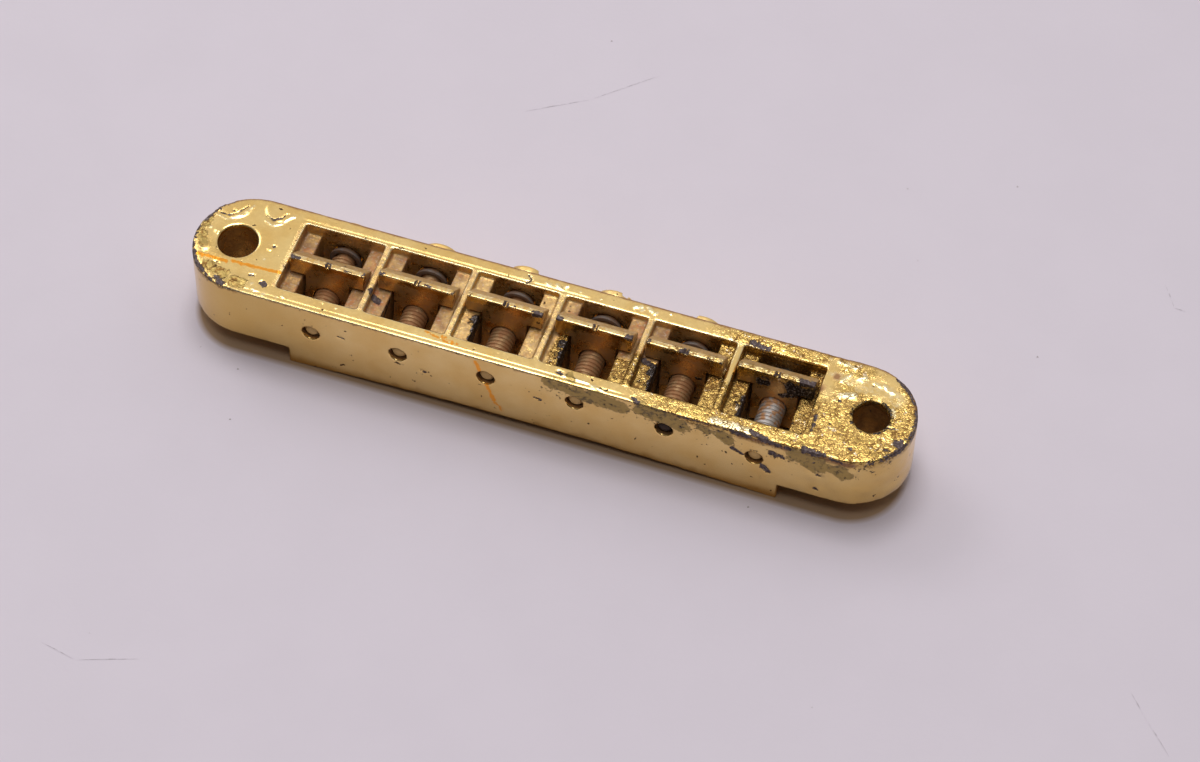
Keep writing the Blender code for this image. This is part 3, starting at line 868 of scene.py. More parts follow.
    def foil_zone(self, points: np.ndarray) -> np.ndarray:
        """Where the rails are covered with crumpled foil: near the front of bays 4 and 5, and all of bay 6."""
        x, y, z = points.T
        wavy = lattice_noise(points, 1.5, 29)
        near = step_up(y + wavy, -0.3, -1.5)
        zone = step_up(x + 0.3 * wavy, 0.5, 1.2) * np.maximum(near, step_up(x + wavy, 16.5, 18.0))
        return zone * step_up(z, 6.0, 7.5) * (1 - step_up(z, self.high.z - 0.6, self.high.z - 0.3) * (1 - near))

    def crinkle_share(self, points: np.ndarray) -> np.ndarray:
        """How strongly the plating is crinkled at each point."""
        x, y, z = points.T
        wavy = 2.0 * lattice_noise(points, 2.5, 11)
        right = step_up(x + wavy, 29.0, 32.0)
        strip = step_up(x + 0.6 * wavy, 10.0, 13.5) * step_up(y + 0.3 * wavy, self.low.y + 3.0, self.low.y + 2.0)
        top = step_up(z, self.high.z - 1.6, self.high.z - 0.6)
        far_strip = step_up(x + wavy, 14.0, 22.0) * step_up(y, self.high.y - 2.6, self.high.y - 1.6)
        left = 0.35 * step_up(x + 0.6 * wavy, -37.0, -39.5) * step_up(y + 0.5 * wavy, -0.5, -2.5)
        rails = self.foil_zone(points) * step_up(x, 32.0, 31.0)
        inside = step_up(y, self.low.y + 1.6, self.low.y + 2.2) * step_up(y, self.high.y - 1.5, self.high.y - 2.0)
        bent = points + 1.2 * np.stack([lattice_noise(points, 1.7, seed) for seed in (51, 52, 53)], 1)
        smooth = 0.25 + 0.75 * step_up(lattice_noise(bent, 3.4, 17), 0.76, 0.36)
        smooth *= 1 - 0.8 * self.glossy(points)
        on_top = top * np.maximum(np.maximum(right, left), np.maximum(strip, far_strip)) * smooth
        return np.clip(np.maximum(0.76 * on_top, rails * inside), 0, 1)

    def glossy(self, points: np.ndarray) -> np.ndarray:
        """Where the treble end is still smooth: a band behind the stud hole."""
        wavy = 0.7 * lattice_noise(points, 2.5, 11)
        band = self.on_top(Wear.PALE, (31.6, 2.9), (39.2, 2.4), 1.1)
        return step_up(band.share(points + wavy[:, None]), 0.35, 0.85)

    def rim_share(self, points: np.ndarray) -> np.ndarray:
        """How dark and chipped the outer top edge is at each point."""
        x, y, z = points.T
        reach = self.high.x - self.radius
        beyond = np.maximum(np.abs(x) - reach, 0)
        outward = self.radius - np.hypot(beyond, y - self.middle.y)
        edge = step_up(outward, 0.55, 0.2) * step_up(z, self.high.z - 0.9, self.high.z - 0.4)
        bass = step_up(x, -37.0, -40.0) * step_up(y, 4.5, 2.5)
        treble = 0.9 * step_up(x, 30.0, 34.0) * step_up(lattice_noise(points, 1.3, 23), 0.05, 0.35)
        tip = step_up(x, 38.0, 40.5)
        return edge * np.maximum(np.maximum(bass, tip), treble)

    def brown_share(self, points: np.ndarray, normals: np.ndarray) -> np.ndarray:
        """How brown the outer top edge is at each point: a painted darker reflection on the rounded rim, partly brown
        dirt, as a band on the far side and a thin line on the near one where the edge tilts toward the near side.
        """
        x, y, z = points.T
        beyond = np.maximum(np.abs(x) - (self.high.x - self.radius), 0)
        outward = self.radius - np.hypot(beyond, y - self.middle.y)
        far = step_up(outward, 0.45, 0.15) * step_up(z, self.high.z - 1.2, self.high.z - 0.7) * step_up(y, 0, 2)
        tilt = step_up(normals[:, 2], 0.02, 0.08) * step_up(normals[:, 2], 0.62, 0.45)
        near = tilt * step_up(outward, 0.5, 0.2) * step_up(z, self.high.z - 1.1, self.high.z - 0.8)
        return np.maximum(far, 0.60 * near * step_up(y, -3.0, -5.0) * step_up(x, 25.0, 18.0))

    def near_rim(self, points: np.ndarray) -> np.ndarray:
        """Two fine steps that run along the near edge, and one beside the bays on the far wall."""
        x, y, z = points.T
        flat = step_up(z, self.high.z - 0.4, self.high.z - 0.2)
        near = np.exp(-((y - self.low.y - 0.62) / 0.09) ** 2) * step_up(np.abs(x + 12.0), 24.0, 21.0)
        far = np.exp(-((y - self.high.y + self.far_wall - 0.42) / 0.10) ** 2) * step_up(np.abs(x + 14.0), 17.5, 16.5)
        return flat * (0.045 * near + 0.05 * far)

    def depth_inside(self, points: np.ndarray) -> np.ndarray:
        """How deep inside the bays each point lies."""
        inside = step_up(points[:, 2], self.high.z - 0.6, self.high.z - 4.0)
        inside *= step_up(points[:, 1], self.low.y + 1.4, self.low.y + 2.0)
        inside *= step_up(points[:, 1], self.high.y - 1.2, self.high.y - 1.8)
        return inside * step_up(np.abs(points[:, 0]), 31.6, 31.0)

    def hole_shade_share(self, points: np.ndarray) -> np.ndarray:
        """How much painted shade darkens the insides of the stud holes and screw holes at each point."""
        from_stud = np.hypot(np.abs(points[:, 0]) - self.stud_spacing / 2, points[:, 1] - self.middle.y)
        share = step_up(from_stud, self.stud_hole / 2 + 0.2, self.stud_hole / 2)
        share *= step_up(points[:, 2], self.high.z - 0.25, self.high.z - 0.6) * np.where(points[:, 0] < 0, 0.42, 0.62)
        for bay in self.bays:
            from_screw = np.hypot(points[:, 0] - bay.axis.x, points[:, 2] - bay.axis.z)
            near = step_up(points[:, 1], self.low.y + 0.12, self.low.y + 0.3)
            share = np.maximum(share, step_up(from_screw, self.near_hole / 2 + 0.2, self.near_hole / 2) * near)
        return share

    def dust_share(self, points: np.ndarray) -> np.ndarray:
        """How much dust lies on the rails, the inner walls and the ribs, most of it at the bass end."""
        x, y, z = points.T
        bays = step_up(np.abs(x), 31.4, 30.8) * step_up(y, self.low.y + 1.8, self.low.y + 2.3)
        bays *= step_up(y, self.high.y - 1.6, self.high.y - 2.1)
        bass = 1 - np.maximum(self.foil_zone(points), step_up(x, 17.0, 19.0))
        patchy = 0.75 + 0.25 * lattice_noise(points, 1.1, 33)
        rails = step_up(z, 8.0, 8.6) * step_up(z, self.high.z - 0.1, self.high.z - 0.5)
        rails *= 1 - 0.45 * step_up(np.abs(x + 5.5), 7.5, 4.5)
        ribs = 0.6 * step_up(z, self.high.z - 0.5, self.high.z - 0.2) * step_up(np.abs(x), 30.6, 30.2)
        return bays * bass * patchy * np.maximum(rails, np.maximum(0.45, ribs))

    def rail_grime_and_shade(self, points: np.ndarray) -> np.ndarray:
        """How dark the rails and the sides of the ribs are at each point: dirt, with painted shade that deepens below
        the top and lightens near the far wall.
        """
        x, y, z = points.T
        bays = step_up(np.abs(x), 31.4, 30.8) * step_up(y, self.low.y + 1.9, self.low.y + 2.3)
        bays *= step_up(y, self.high.y - 1.7, self.high.y - 2.2)
        bays *= 1 - 0.65 * step_up(y, self.high.y - 2.4, self.high.y - 2.1)
        bays *= 1 - 0.45 * step_up(np.abs(x + 5.5), 7.5, 4.5)
        return 0.5 * bays * step_up(z, self.high.z - 0.15, self.high.z - 0.6) * (1 - 0.8 * self.foil_zone(points))

    def hole_rim(self, points: np.ndarray) -> np.ndarray:
        """How near each point is to the ragged rim of the treble stud hole."""
        from_stud = np.hypot(points[:, 0] - self.stud_spacing / 2, points[:, 1] - self.middle.y)
        ring = step_up(np.abs(from_stud - self.stud_hole / 2), 0.40, 0.10)
        return 0.42 * ring * step_up(points[:, 2], self.high.z - 0.9, self.high.z - 0.4)

    def overhang(self, points: np.ndarray) -> np.ndarray:
        """How the foil leans in over the rim of the treble stud hole: a shift for each point."""
        away = points - np.array((self.stud_spacing / 2, self.middle.y, 0.0))
        away[:, 2] = 0.0
        from_stud = np.maximum(np.linalg.norm(away, axis=1), 1e-6)
        lean = step_up(from_stud, self.stud_hole / 2 + 1.1, self.stud_hole / 2 + 0.2)
        lean *= step_up(points[:, 2], self.high.z - 1.3, self.high.z - 0.7)
        lean *= 0.22 + 0.10 * lattice_noise(points, 0.7, 61)
        return -away / from_stud[:, None] * lean[:, None]

    def painted_shade_share(self, points: np.ndarray, normals: np.ndarray) -> np.ndarray:
        """How much the near face is painted darker at each point, most at its two ends: painted shade for the shadowed
        paper it reflects.
        """
        x, y, z = points.T
        ends = 0.12 + 0.60 * step_up(x, -20.0, -34.0) + 0.30 * step_up(x, 26.0, 35.0)
        beyond = np.maximum(np.abs(x) - (self.high.x - self.radius), 0)
        outer = step_up(np.hypot(beyond, y - self.middle.y), self.radius - 1.0, self.radius - 0.5)
        return ends * outer * step_up(np.abs(normals[:, 2]), 0.6, 0.2) * step_up(y, 3.0, 0.0)

    def black_walls(self, points: np.ndarray) -> np.ndarray:
        """How far the black flakes cover the insides of the treble bays and lie on their foil."""
        walls = 0.38 * self.depth_inside(points) * step_up(points[:, 0], 7.0, 14.0)
        return np.maximum(walls, 0.17 * self.foil_zone(points) * step_up(points[:, 2], self.high.z - 0.4, self.high.z - 0.7))

    def worn(self, mesh: bpy.types.Mesh) -> bpy.types.Mesh:
        """Give the bar its casting waviness, crinkles and wear, with painted shade and painted highlights among its
        wear values.
        """
        points = mesh_points(mesh)
        marks = self.marks()
        crinkle = self.crinkle_share(points)
        height = 0.012 * lattice_noise(points, 2.6, 1) + 0.004 * lattice_noise(points, 0.9, 2)
        fold = np.abs(lattice_noise(points, 0.9, 9)) + 0.5 * np.abs(lattice_noise(points, 0.42, 10))
        height += crinkle * 0.055 * (0.45 - fold) - self.near_rim(points)
        height += 0.05 * step_up(points[:, 0], 29.0, 33.0) * lattice_noise(points, 1.2, 5)
        for blister in self.blisters():
            height += blister.lift(points) * step_up(points[:, 2], self.high.z - 0.5, self.high.z - 0.2)
        height -= 0.07 * step_up(gather(marks, Wear.CHIP, points), 0.4, 0.7)
        height += 0.07 * step_up(gather(marks, Wear.PALE, points), 0.2, 1.0) * (0.6 + lattice_noise(points, 0.45, 15))
        height += 0.06 * gather(marks, Wear.CRUST, points) * lattice_noise(points, 0.35, 12)
        set_points(mesh, points + mesh_normals(mesh) * height[:, None] + self.overhang(points))
        seen = (points[:, 2] > 3.0) & (points[:, 1] < self.high.y - 0.3)
        mesh = thinned(mesh, 197000, seen)
        points = mesh_points(mesh)
        inside = self.depth_inside(points)
        set_wear(mesh, Wear.CRINKLE, self.crinkle_share(points))
        normals = mesh_normals(mesh)
        extra = {
            Wear.CHIP: 0.62 * self.rim_share(points),
            Wear.BLACK: np.maximum(self.black_walls(points), self.hole_rim(points)),
            # Dirt and painted shade: the bays' insides are painted darker with depth, and so are the holes, the
            # rounded rim and the rails.
            Wear.GRIME_AND_SHADE: np.max([inside * 0.56, self.hole_shade_share(points), self.brown_share(points, normals),
                                self.rail_grime_and_shade(points)], 0),
            Wear.DUST: self.dust_share(points),
            # Painted highlights: pale along the rounded edges, and a painted sheen on the smooth treble band.
            Wear.PALE: np.maximum(self.pale_edge_and_highlight(points, normals), 0.30 * self.glossy(points)),
            Wear.PAINTED_SHADE: self.painted_shade_share(points, normals),
        }
        for wear in (kind for kind in Wear if kind is not Wear.CRINKLE):
            set_wear(mesh, wear, np.maximum(gather(marks, wear, points), extra.get(wear, 0.0)))
        return mesh

    def build(self, finish: bpy.types.Material) -> bpy.types.Object:
        """Make the bar and hang it on its body."""
        piece = finished_piece(self.worn(self.carve()), "cast_bar", finish)
        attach(piece, "bridge")
        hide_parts("bridge_body")
        LOG.info("cast bar: %d faces", len(piece.data.polygons))
        return piece


@dataclass
class Saddle:
    """A wedge that bridges the rails of a bay, with a notch for its string."""

    bay: Bay
    bore: float = 3.15
    left_reach: float = 0.2
    tongue_width: float = 5.2
    rail_above_axis: float = 2.5
    gap: float = 0.3
    lean: float = 0.15
    blade: float = 0.6
    heel: float = 0.75
    notch: float = 0.6
    notch_depth: float = 0.3
    voxel: float = 0.085
    spots: Sequence[tuple[Wear, float, float, float, float]] = ()

    @property
    def edge(self) -> float:
        """Where the blade's front edge lies along Y."""
        return self.bay.saddle_low.y + self.lean * (self.bay.saddle_high.z - self.bay.saddle_low.z)

    def blank(self) -> bpy.types.Mesh:
        """The saddle's outline, extruded and sloped at its front and its back."""
        low, high, x = self.bay.saddle_low, self.bay.saddle_high, self.bay.axis.x
        half = (high.x - low.x) / 2
        left = half + self.left_reach
        tongue = self.tongue_width / 2
        under = self.bay.axis.z + self.rail_above_axis + self.gap
        notch = self.notch / 2
        outline = [
            (x + tongue, low.y, low.z), (x + tongue, low.y, under), (x + half, low.y, under),
            (x + half, low.y, high.z), (x + notch, low.y, high.z), (x, low.y, high.z - self.notch_depth),
            (x - notch, low.y, high.z), (x - left, low.y, high.z), (x - left, low.y, under),
            (x - tongue, low.y, under), (x - tongue, low.y, low.z)]
        bm = prism(outline, (0, high.y - low.y, 0))
        depth = high.y - self.edge
        rise = high.z - under + self.gap - self.heel
        for y, normal in ((self.edge, (0, -1, self.lean)), (self.edge + self.blade, (0, rise, depth - self.blade))):
            bmesh.ops.recalc_face_normals(bm, faces=bm.faces)
            ring = bmesh.ops.bisect_plane(
                bm, geom=list(bm.verts) + list(bm.edges) + list(bm.faces), dist=1e-5,
                plane_co=(x, y, high.z), plane_no=Vector(normal), clear_outer=True)["geom_cut"]
            bmesh.ops.edgeloop_fill(bm, edges=[item for item in ring if isinstance(item, bmesh.types.BMEdge)])
        return mesh_from(bm, "saddle_blank")

    def build(self, finish: bpy.types.Material) -> bpy.types.Object:
        """Make the saddle and hang it on its body."""
        bay = self.bay
        carving = Carving(self.blank(), "saddle_carving")
        bore = turned([(self.bore / 2, bay.saddle_low.y - 1), (self.bore / 2, bay.saddle_high.y + 1)], 32)
        bmesh.ops.translate(bore, verts=bore.verts, vec=(bay.axis.x, 0, bay.axis.z))
        carving.cut(bore)
        mesh = carving.soften(self.voxel, 2)
        points = mesh_points(mesh)
        height = 0.008 * lattice_noise(points, 1.4, 40 + bay.number) + 0.006 * lattice_noise(points, 0.4, 7)
        set_points(mesh, points + mesh_normals(mesh) * height[:, None])
        mesh = thinned(mesh, 32000)
        self.wear(mesh)
        piece = finished_piece(mesh, f"string_saddle_{bay.number}", finish)
        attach(piece, f"saddle_{bay.number}")
        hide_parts(f"saddle_{bay.number}")
        LOG.info("saddle %d: %d faces", bay.number, len(piece.data.polygons))
        return piece

    def wear(self, mesh: bpy.types.Mesh) -> None:
        """Give the saddle its rubbed top, dark notch, a lower part painted darker towards the bottom, and its own
        spots.
        """
        bay = self.bay
        points = mesh_points(mesh)
        across = np.abs(points[:, 0] - bay.axis.x)
        top = step_up(points[:, 2], bay.saddle_high.z - 0.35, bay.saddle_high.z - 0.1)
        marks = []
        for wear, left, right, drop, reach in self.spots:
            y, z = self.edge + 0.2 - self.lean * drop, bay.saddle_high.z - drop
            marks.append(Mark(wear, (bay.axis.x + left, y, z), (bay.axis.x + right, y, z), reach))
        shares = {wear: gather(marks, wear, points) for wear in Wear}
        shares[Wear.CRINKLE] *= 0.76
        worn_ends = top * (0.45 * step_up(across, 3.7, 4.2) + 0.75 * step_up(across, 0.5, 0.2))
        # The lower part is painted darker towards the bottom.
        grime_and_shade = 0.42 * step_up(points[:, 2], bay.saddle_high.z - 0.2, bay.saddle_high.z - 1.2)
        behind = step_up(points[:, 1], self.edge + self.blade - 0.1, self.edge + self.blade + 0.15)
        shares[Wear.DUST] = 0.9 * behind * step_up(points[:, 2], bay.axis.z + 2.6, bay.axis.z + 3.0)
        shares[Wear.CHIP] = np.clip(np.maximum(shares[Wear.CHIP], worn_ends), 0, 1)
        shares[Wear.PALE] = np.maximum(shares[Wear.PALE], 0.35 * top)
        shares[Wear.GRIME_AND_SHADE] = np.maximum(shares[Wear.GRIME_AND_SHADE], grime_and_shade)
        for wear, values in shares.items():
            set_wear(mesh, wear, values)


# Wear of each saddle: its kind, its reach across from the middle, how far down it lies, and its half width
SADDLE_SPOTS = {
    1: ((Wear.CHIP, -4.1, -3.6, 0.0, 0.24), (Wear.CHIP, 2.0, 2.8, 0.1, 0.12)),
    2: ((Wear.CHIP, -4.3, -4.1, 0.0, 0.25), (Wear.CHIP, 1.0, 1.5, 0.0, 0.12)),
    3: ((Wear.CHIP, 3.3, 4.2, 0.2, 0.30), (Wear.CHIP, 1.0, 1.1, 0.0, 0.12)),
    4: ((Wear.CHIP, -4.3, -3.9, 0.0, 0.25), (Wear.CHIP, 3.7, 4.3, 0.1, 0.36)),
    5: ((Wear.CRINKLE, -1.4, 0.7, 0.0, 0.70), (Wear.CHIP, -0.6, 0.2, 0.1, 0.22), (Wear.CRINKLE, 3.0, 4.2, 0.2, 0.80),
        (Wear.CHIP, 2.5, 2.9, 0.2, 0.16), (Wear.BLACK, -2.0, -1.7, 3.6, 0.22), (Wear.BLACK, -0.4, 0.4, 2.75, 0.12),
        (Wear.BLACK, 1.6, 2.0, 3.2, 0.26)),
    6: ((Wear.CRINKLE, -4.3, 4.3, 0.0, 0.90), (Wear.CHIP, 2.9, 4.2, 0.1, 0.45), (Wear.BLACK, 1.8, 4.2, 1.4, 1.00),
        (Wear.BLACK, -1.9, -1.2, 1.5, 0.50), (Wear.BLACK, 0.8, 1.2, 2.6, 0.45), (Wear.CHIP, -1.6, 1.8, 0.8, 0.20)),
}


@dataclass
class IntonationScrew:
    """A right-hand screw with a slotted head, a groove for its ring and a turned pilot."""

    bay: Bay
    turn: float
    pitch: float = 0.5
    thread: float = 2.9
    core: float = 2.56
    pilot: float = 1.7
    groove: float = 2.3
    neck: float = 0.55
    ring_clearance: float = 0.2
    head_height: float = 1.1
    slot_width: float = 0.8
    slot_depth: float = 0.6
    sides: int = 64
    steps: int = 12

    def radius_at(self, y: float, angle: float) -> float:
        """The screw's radius at a place along it and an angle round it."""
        low, high = self.bay.screw_low.y, self.bay.screw_high.y
        head = high - self.head_height
        start = low + 2.0
        groove_low = self.bay.ring_low.y - self.neck
        groove_high = self.bay.ring_high.y + self.ring_clearance
        if y < start:
            return self.pilot / 2 - max(0.0, low + 0.25 - y)
        if groove_low < y < groove_high:
            return self.groove / 2
        if y > groove_high:
            return self.thread / 2
        phase = (y / self.pitch + angle / (2 * math.pi)) % 1.0
        ridge = abs(2 * phase - 1)
        crest = min(1.0, max(0.0, (ridge - 0.04) / 0.40))
        fade = min(1.0, max(0.0, (y - start) / 0.5))
        core = self.core / 2
        return core + (self.thread / 2 - core) * crest * fade

    def shank(self) -> bmesh.types.BMesh:
        """The pilot, the helical thread and the groove as one skin."""
        bm = bmesh.new()
        low = self.bay.screw_low.y
        head = self.bay.screw_high.y - self.head_height
        count = int((head - low) / self.pitch * self.steps)
        rings = []
        for i in range(count + 1):
            y = low + (head - low) * i / count
            ring = []
            for j in range(self.sides):
                angle = 2 * math.pi * j / self.sides
                radius = self.radius_at(y, angle)
                ring.append(bm.verts.new((radius * math.cos(angle), y, radius * math.sin(angle))))
            rings.append(ring)
        for ring, following in zip(rings, rings[1:]):
            for i in range(self.sides):
                j = (i + 1) % self.sides
                bm.faces.new((ring[i], ring[j], following[j], following[i]))
        bm.faces.new(rings[0])
        bm.faces.new(rings[-1])
        return bm

    def head(self) -> bpy.types.Mesh:
        """The slotted, domed head."""
        high = self.bay.screw_high.y
        radius = (self.bay.screw_high.x - self.bay.screw_low.x) / 2
        base = high - self.head_height
        profile = [(radius - 0.1, base), (radius, base + 0.1), (radius, base + 0.7)]
        for step in range(1, 9):
            angle = math.pi / 2 * step / 8
            profile.append((radius - 0.9 * (1 - math.cos(angle)), base + 0.7 + 0.4 * math.sin(angle)))
        carving = Carving(mesh_from(turned(profile, self.sides), "head_blank"), "head_carving")
        carving.cut(box((-9, high - self.slot_depth, -self.slot_width / 2), (9, high + 1, self.slot_width / 2)))
        return carving.soften(0.09, 2)

    def build(self, finish: bpy.types.Material, head_finish: bpy.types.Material) -> bpy.types.Object:
        """Make the screw and hang it on its body."""
        bay = self.bay
        shank = mesh_from(self.shank(), "screw_shank")
        head = self.head()
        for wear in Wear:
            set_wear(head, wear, np.zeros(len(head.vertices)))
        tip = mesh_points(shank)[:, 1]
        set_wear(shank, Wear.PALE, step_up(tip, bay.screw_low.y + 2.0, bay.screw_low.y + 1.6))
        place = Matrix.Translation((bay.axis.x, 0, bay.axis.z)) @ Matrix.Rotation(self.turn, 4, "Y")
        shank.transform(place)
        head.transform(place)
        piece = finished_piece(shank, f"screw_shank_{bay.number}", finish)
        cap = finished_piece(head, f"screw_head_{bay.number}", head_finish)
        for item in (piece, cap):
            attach(item, f"screw_{bay.number}")
            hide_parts(f"intonation_screw_{bay.number}")
        LOG.info("screw %d: %d faces", bay.number, len(piece.data.polygons))
        return piece


@dataclass
class RetainingRing:
    """A split ring in the screw's groove."""

    bay: Bay
    inner: float = 2.7
    split: float = math.radians(38.0)
    steps: int = 48

    def build(self, finish: bpy.types.Material) -> bpy.types.Object:
        """Make the ring and hang it on its body."""
        bay = self.bay
        outer = (bay.ring_high.x - bay.ring_low.x) / 2
        start = -math.pi / 2 + self.split / 2
        sweep = 2 * math.pi - self.split
        angles = [start + sweep * step / self.steps for step in range(self.steps + 1)]
        low, high = bay.ring_low.y, bay.ring_high.y
        outline = [(outer * math.cos(a), low, outer * math.sin(a)) for a in angles]
        outline += [(self.inner / 2 * math.cos(a), low, self.inner / 2 * math.sin(a)) for a in reversed(angles)]
        bm = prism(outline, (0, high - low, 0))
        bmesh.ops.bevel(bm, geom=list(bm.edges), offset=0.08, segments=2, profile=0.5, affect="EDGES")
        mesh = mesh_from(bm, "ring")
        mesh.transform(Matrix.Translation((bay.axis.x, 0, bay.axis.z)))
        piece = finished_piece(mesh, f"split_ring_{bay.number}", finish)
        mesh.set_sharp_from_angle(angle=math.radians(40))
        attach(piece, f"screw_{bay.number}")
        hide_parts(f"retaining_ring_{bay.number}")
        return piece


@dataclass(frozen=True)
class Studio:
    """The floor, the lamps, the world and the camera."""

    paper: tuple[float, float, float] = (0.755, 0.69, 0.775)
    pencil: tuple[float, float, float] = (0.52, 0.47, 0.52)
    speck: tuple[float, float, float] = (0.30, 0.24, 0.24)
    # Painted contact shadow on the paper: its brown tone, and how far toward the near side it is moved.
    painted_shadow_tone: tuple[float, float, float] = (0.38, 0.25, 0.145)
    shadow_shift: float = 1.1
    bright_side: tuple[float, float, float] = (-0.2, 0.75, 0.65)
    dim: float = 0.03
    bright: float = 0.70
    azimuth: float = 0.30772
    elevation: float = 0.93037
    roll: float = 0.02329
    shift_right: float = 5.70493
    shift_up: float = 0.18598
    distance: float = 427.39119
    focal_pixels: float = 3796.40244
    photo_width: float = 1200.0
    sensor: float = 36.0

    def floor(self) -> None:
        """A wide sheet of pale paper that the bridge lies on, painted brown in the bar's close shadow."""
        bm = bmesh.new()
        bmesh.ops.create_grid(bm, x_segments=60, y_segments=60, size=3.0)
        mesh = mesh_from(bm, "paper")
        points = mesh_points(mesh)
        points[:, 2] = 0.0
        set_points(mesh, points)
        n = Nodes("paper")
        fibre = n.noise(14.0, 6.0, 0.6)
        darker = tuple(value * 0.985 for value in self.paper)
        paper = n.mix(n.rise(fibre, 0.4, 0.6), self.paper, darker)
        # The paper's colour carries a painted contact shadow next to the bar.
        n.link(n.mix(self.painted_contact_shadow(n), paper, self.painted_shadow_tone), n.shader.inputs["Base Color"])
        n.shader.inputs["Roughness"].default_value = 0.9
        n.shader.inputs["Specular IOR Level"].default_value = 0.1
        n.bump(n.noise(0.6, 4.0, 0.6), 0.01)
        mesh.materials.append(n.material)
        floor = bpy.data.objects.new("paper_floor", mesh)
        bpy.context.scene.collection.objects.link(floor)

    def painted_contact_shadow(self, n: Nodes) -> bpy.types.NodeSocket:
        """Where the paper is painted brown next to the bar: a painted contact shadow with the plating's gold-tinted
        bounce light painted in, falling a little toward the near side.
        """
        low, high = (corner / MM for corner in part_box("bridge_body"))
        radius = (high.y - low.y) / 2
        split = n.tree.nodes.new("ShaderNodeSeparateXYZ")
        n.link(n.place, split.inputs[0])
        along = n.math("MAXIMUM", n.math("SUBTRACT", n.math("ABSOLUTE", split.outputs["X"]), (high.x - radius) * MM), 0.0)
        across = n.math("SUBTRACT", split.outputs["Y"], ((low.y + high.y) / 2 - self.shadow_shift) * MM)
        away = n.math("SQRT", n.math("ADD", n.math("POWER", along, 2.0), n.math("POWER", across, 2.0)))
        return n.rise(away, (radius - 0.8) * MM, radius * MM, 0.95, 0.0)

    def scratches(self) -> None:
        """Faint scratches and a few specks on the paper, in millimetres."""
        lines = (((-16.1, 36.2), (-9.2, 40.6)), ((-9.2, 40.6), (-2.3, 47.2)), ((-40.0, -51.3), (-35.6, -52.2)),
                 ((-35.6, -52.2), (-29.1, -49.8)), ((71.8, -19.0), (73.8, -21.4)), ((73.8, -21.4), (77.7, -25.6)),
                 ((62.3, 36.0), (64.1, 33.0)), ((64.1, 33.0), (65.5, 32.9)))
        self.flat_marks("paper_scratches", self.pencil, [
            self.ribbon(Vector(start), Vector(end), 0.07) for start, end in lines])
        specks = ((-38.8, -9.1), (-33.7, -10.6), (-9.7, 50.2), (30.4, 39.8), (42.5, 44.4), (-35.4, -48.6),
                  (-31.9, -17.4), (26.3, -9.7), (40.4, -32.1), (51.1, 20.9), (34.5, 29.8))
        self.flat_marks("paper_specks", self.speck, [
            self.ribbon(Vector((x - 0.16, y)), Vector((x + 0.10, y + 0.12)), 0.13) for x, y in specks])

    def ribbon(self, start: Vector, end: Vector, half_width: float) -> list[tuple[float, float]]:
        """The outline of a thin spindle between two places."""
        side = (end - start).orthogonal().normalized() * half_width
        middle = (start + end) / 2 + side * 0.7
        return [tuple(start), tuple(middle - side), tuple(end), tuple(middle + side)]

    def flat_marks(self, name: str, colour: tuple[float, float, float],
                   outlines: list[list[tuple[float, float]]]) -> None:
        """Lay thin flat marks on the paper."""
        bm = bmesh.new()
        for outline in outlines:
            bm.faces.new([bm.verts.new((x * MM, y * MM, 0.02 * MM)) for x, y in outline])
        n = Nodes(name)
        n.link(n.mix(n.rise(n.noise(0.8), 0.4, 0.6), self.paper, colour), n.shader.inputs["Base Color"])
        n.shader.inputs["Roughness"].default_value = 0.9
        mesh = mesh_from(bm, name)
        mesh.materials.append(n.material)
        piece = bpy.data.objects.new(name, mesh)
        bpy.context.scene.collection.objects.link(piece)

    def world(self) -> None:
        """Room light: dim at the horizon in front, bright above and behind."""
        world = bpy.data.worlds.new("room")
        world.use_nodes = True
        tree = world.node_tree
        place = tree.nodes.new("ShaderNodeTexCoord")
        toward = tree.nodes.new("ShaderNodeVectorMath")
        toward.operation = "DOT_PRODUCT"
        toward.inputs[1].default_value = Vector(self.bright_side).normalized()
        tree.links.new(place.outputs["Generated"], toward.inputs[0])
        strength = tree.nodes.new("ShaderNodeMapRange")
        for name, value in (("From Min", -0.1), ("From Max", 0.95), ("To Min", self.dim), ("To Max", self.bright)):
            strength.inputs[name].default_value = value
        tree.links.new(toward.outputs["Value"], strength.inputs["Value"])
        background = tree.nodes["Background"]
        background.inputs["Color"].default_value = (1.0, 0.97, 0.93, 1.0)
        tree.links.new(strength.outputs["Result"], background.inputs["Strength"])
        bpy.context.scene.world = world

    def lamp(self, name: str, place: tuple[float, float, float], size: float, watts: float) -> None:
        """A square soft lamp aimed at the bridge."""
        light = bpy.data.lights.new(name, "AREA")
        light.size = size
        light.energy = watts
        item = bpy.data.objects.new(name, light)
        item.location = place
        item.rotation_euler = Vector(place).to_track_quat("Z", "Y").to_euler()
        bpy.context.scene.collection.objects.link(item)

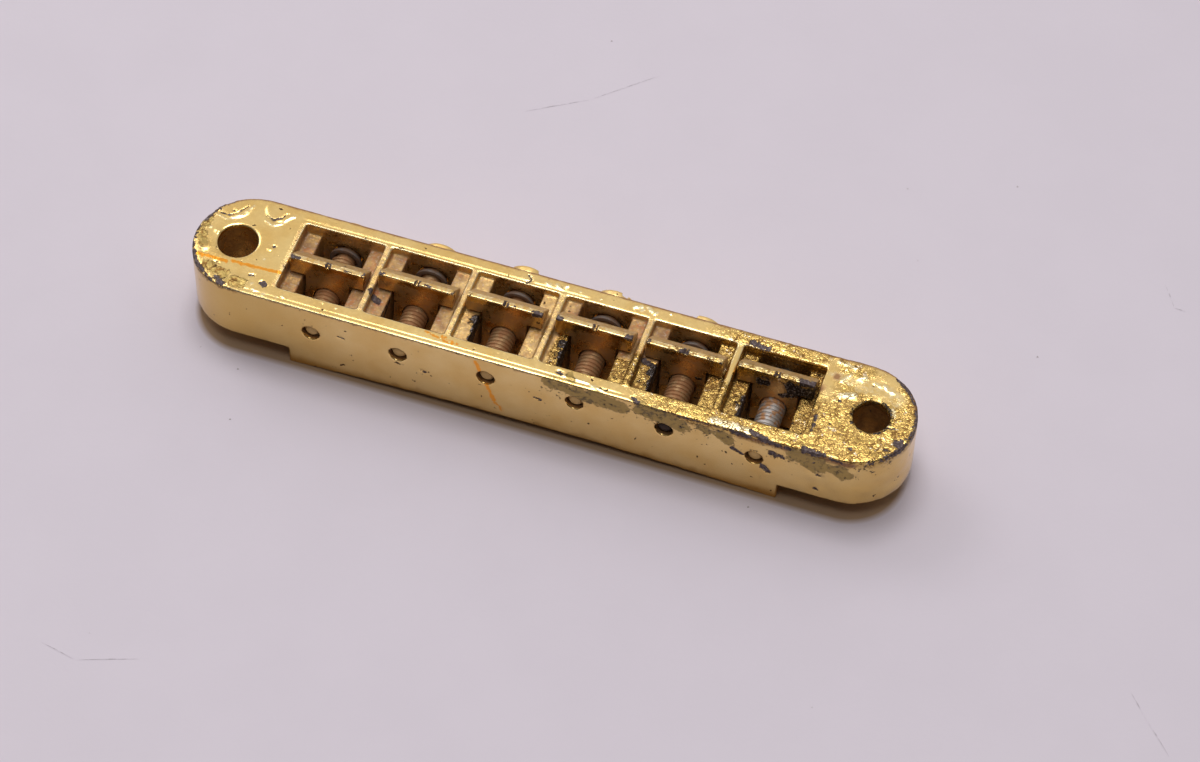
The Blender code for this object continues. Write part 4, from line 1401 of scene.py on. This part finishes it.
    def camera(self, middle_y: float) -> None:
        """The camera at the photograph's angle.

        Args:
            middle_y: The y of the bar's middle plane in millimetres, from which the distances are taken.
        """
        a, e = self.azimuth, self.elevation
        ahead = Vector((-math.sin(a) * math.cos(e), math.cos(a) * math.cos(e), -math.sin(e)))
        level = Vector((math.cos(a), math.sin(a), 0))
        upright = level.cross(ahead)
        right = level * math.cos(self.roll) + upright * math.sin(self.roll)
        up = upright * math.cos(self.roll) - level * math.sin(self.roll)
        place = -self.distance * ahead + self.shift_right * right + self.shift_up * up
        place.y += middle_y
        data = bpy.data.cameras.new("camera")
        data.sensor_width = self.sensor
        data.lens = self.focal_pixels / self.photo_width * self.sensor
        data.clip_start = 0.01
        item = bpy.data.objects.new("camera", data)
        axes = Matrix((right, up, -ahead)).transposed()
        item.matrix_world = Matrix.Translation(place * MM) @ axes.to_4x4()
        bpy.context.scene.collection.objects.link(item)
        bpy.context.scene.camera = item

    def build(self, middle_y: float) -> None:
        """Set the whole stage."""
        bpy.context.scene.view_settings.view_transform = "Standard"
        self.floor()
        self.scratches()
        self.world()
        self.lamp("ceiling", (-0.05, 0.14, 0.62), 0.22, 1.10)
        self.lamp("window", (-0.44, 0.26, 0.46), 0.26, 0.55)
        self.lamp("bulb", (0.03, -0.17, 0.62), 0.16, 0.54)
        self.camera(middle_y)


def main() -> None:
    """Build the bridge piece by piece."""
    logging.basicConfig(level=logging.INFO, format="%(name)s: %(message)s")
    bays = [Bay.read(number) for number in range(1, 7)]
    bar_gold = WornGold("bar_plating").material()
    saddle_gold = WornGold("saddle_plating", light=(0.85, 0.56, 0.20), deep=(0.70, 0.40, 0.12),
                           grime_and_shade_tone=(0.52, 0.30, 0.16), dust=(0.52, 0.34, 0.14), rust=(0.50, 0.29, 0.11)).material()
    head_gold = WornGold("head_plating", roughness=0.35).material()
    bronze = WornSteel("screw_bronze", metal=(0.47, 0.29, 0.15), rust=(0.39, 0.19, 0.085)).material()
    # Screw 5's pilot tip is painted near black: painted shade for its dark hole in the near wall.
    dark_tip_bronze = WornSteel("screw_painted_dark_tip", metal=(0.47, 0.29, 0.15), rust=(0.39, 0.19, 0.085),
                       gilt=(0.05, 0.03, 0.02)).material()
    bare = WornSteel("screw_bare_steel", metal=(0.55, 0.51, 0.49), rust=(0.50, 0.26, 0.12), rusted=0.35).material()
    ring_steel = WornSteel("ring_steel", metal=(0.25, 0.215, 0.20), rust=(0.24, 0.16, 0.12),
                           rusted=0.45, roughness=0.72).material()
    bar = CastBar(bays)
    bar.build(bar_gold)
    turns = [math.radians(angle) for angle in (20.0, 165.0, 130.0, 118.0, 62.0, 95.0)]
    shanks = [bronze, bronze, bronze, bronze, dark_tip_bronze, bare]
    for bay, turn, shank in zip(bays, turns, shanks):
        Saddle(bay, spots=SADDLE_SPOTS[bay.number]).build(saddle_gold)
        IntonationScrew(bay, turn).build(shank, head_gold)
        RetainingRing(bay).build(ring_steel)
    Studio().build(bar.middle.y)


if __name__ == "__main__":
    main()
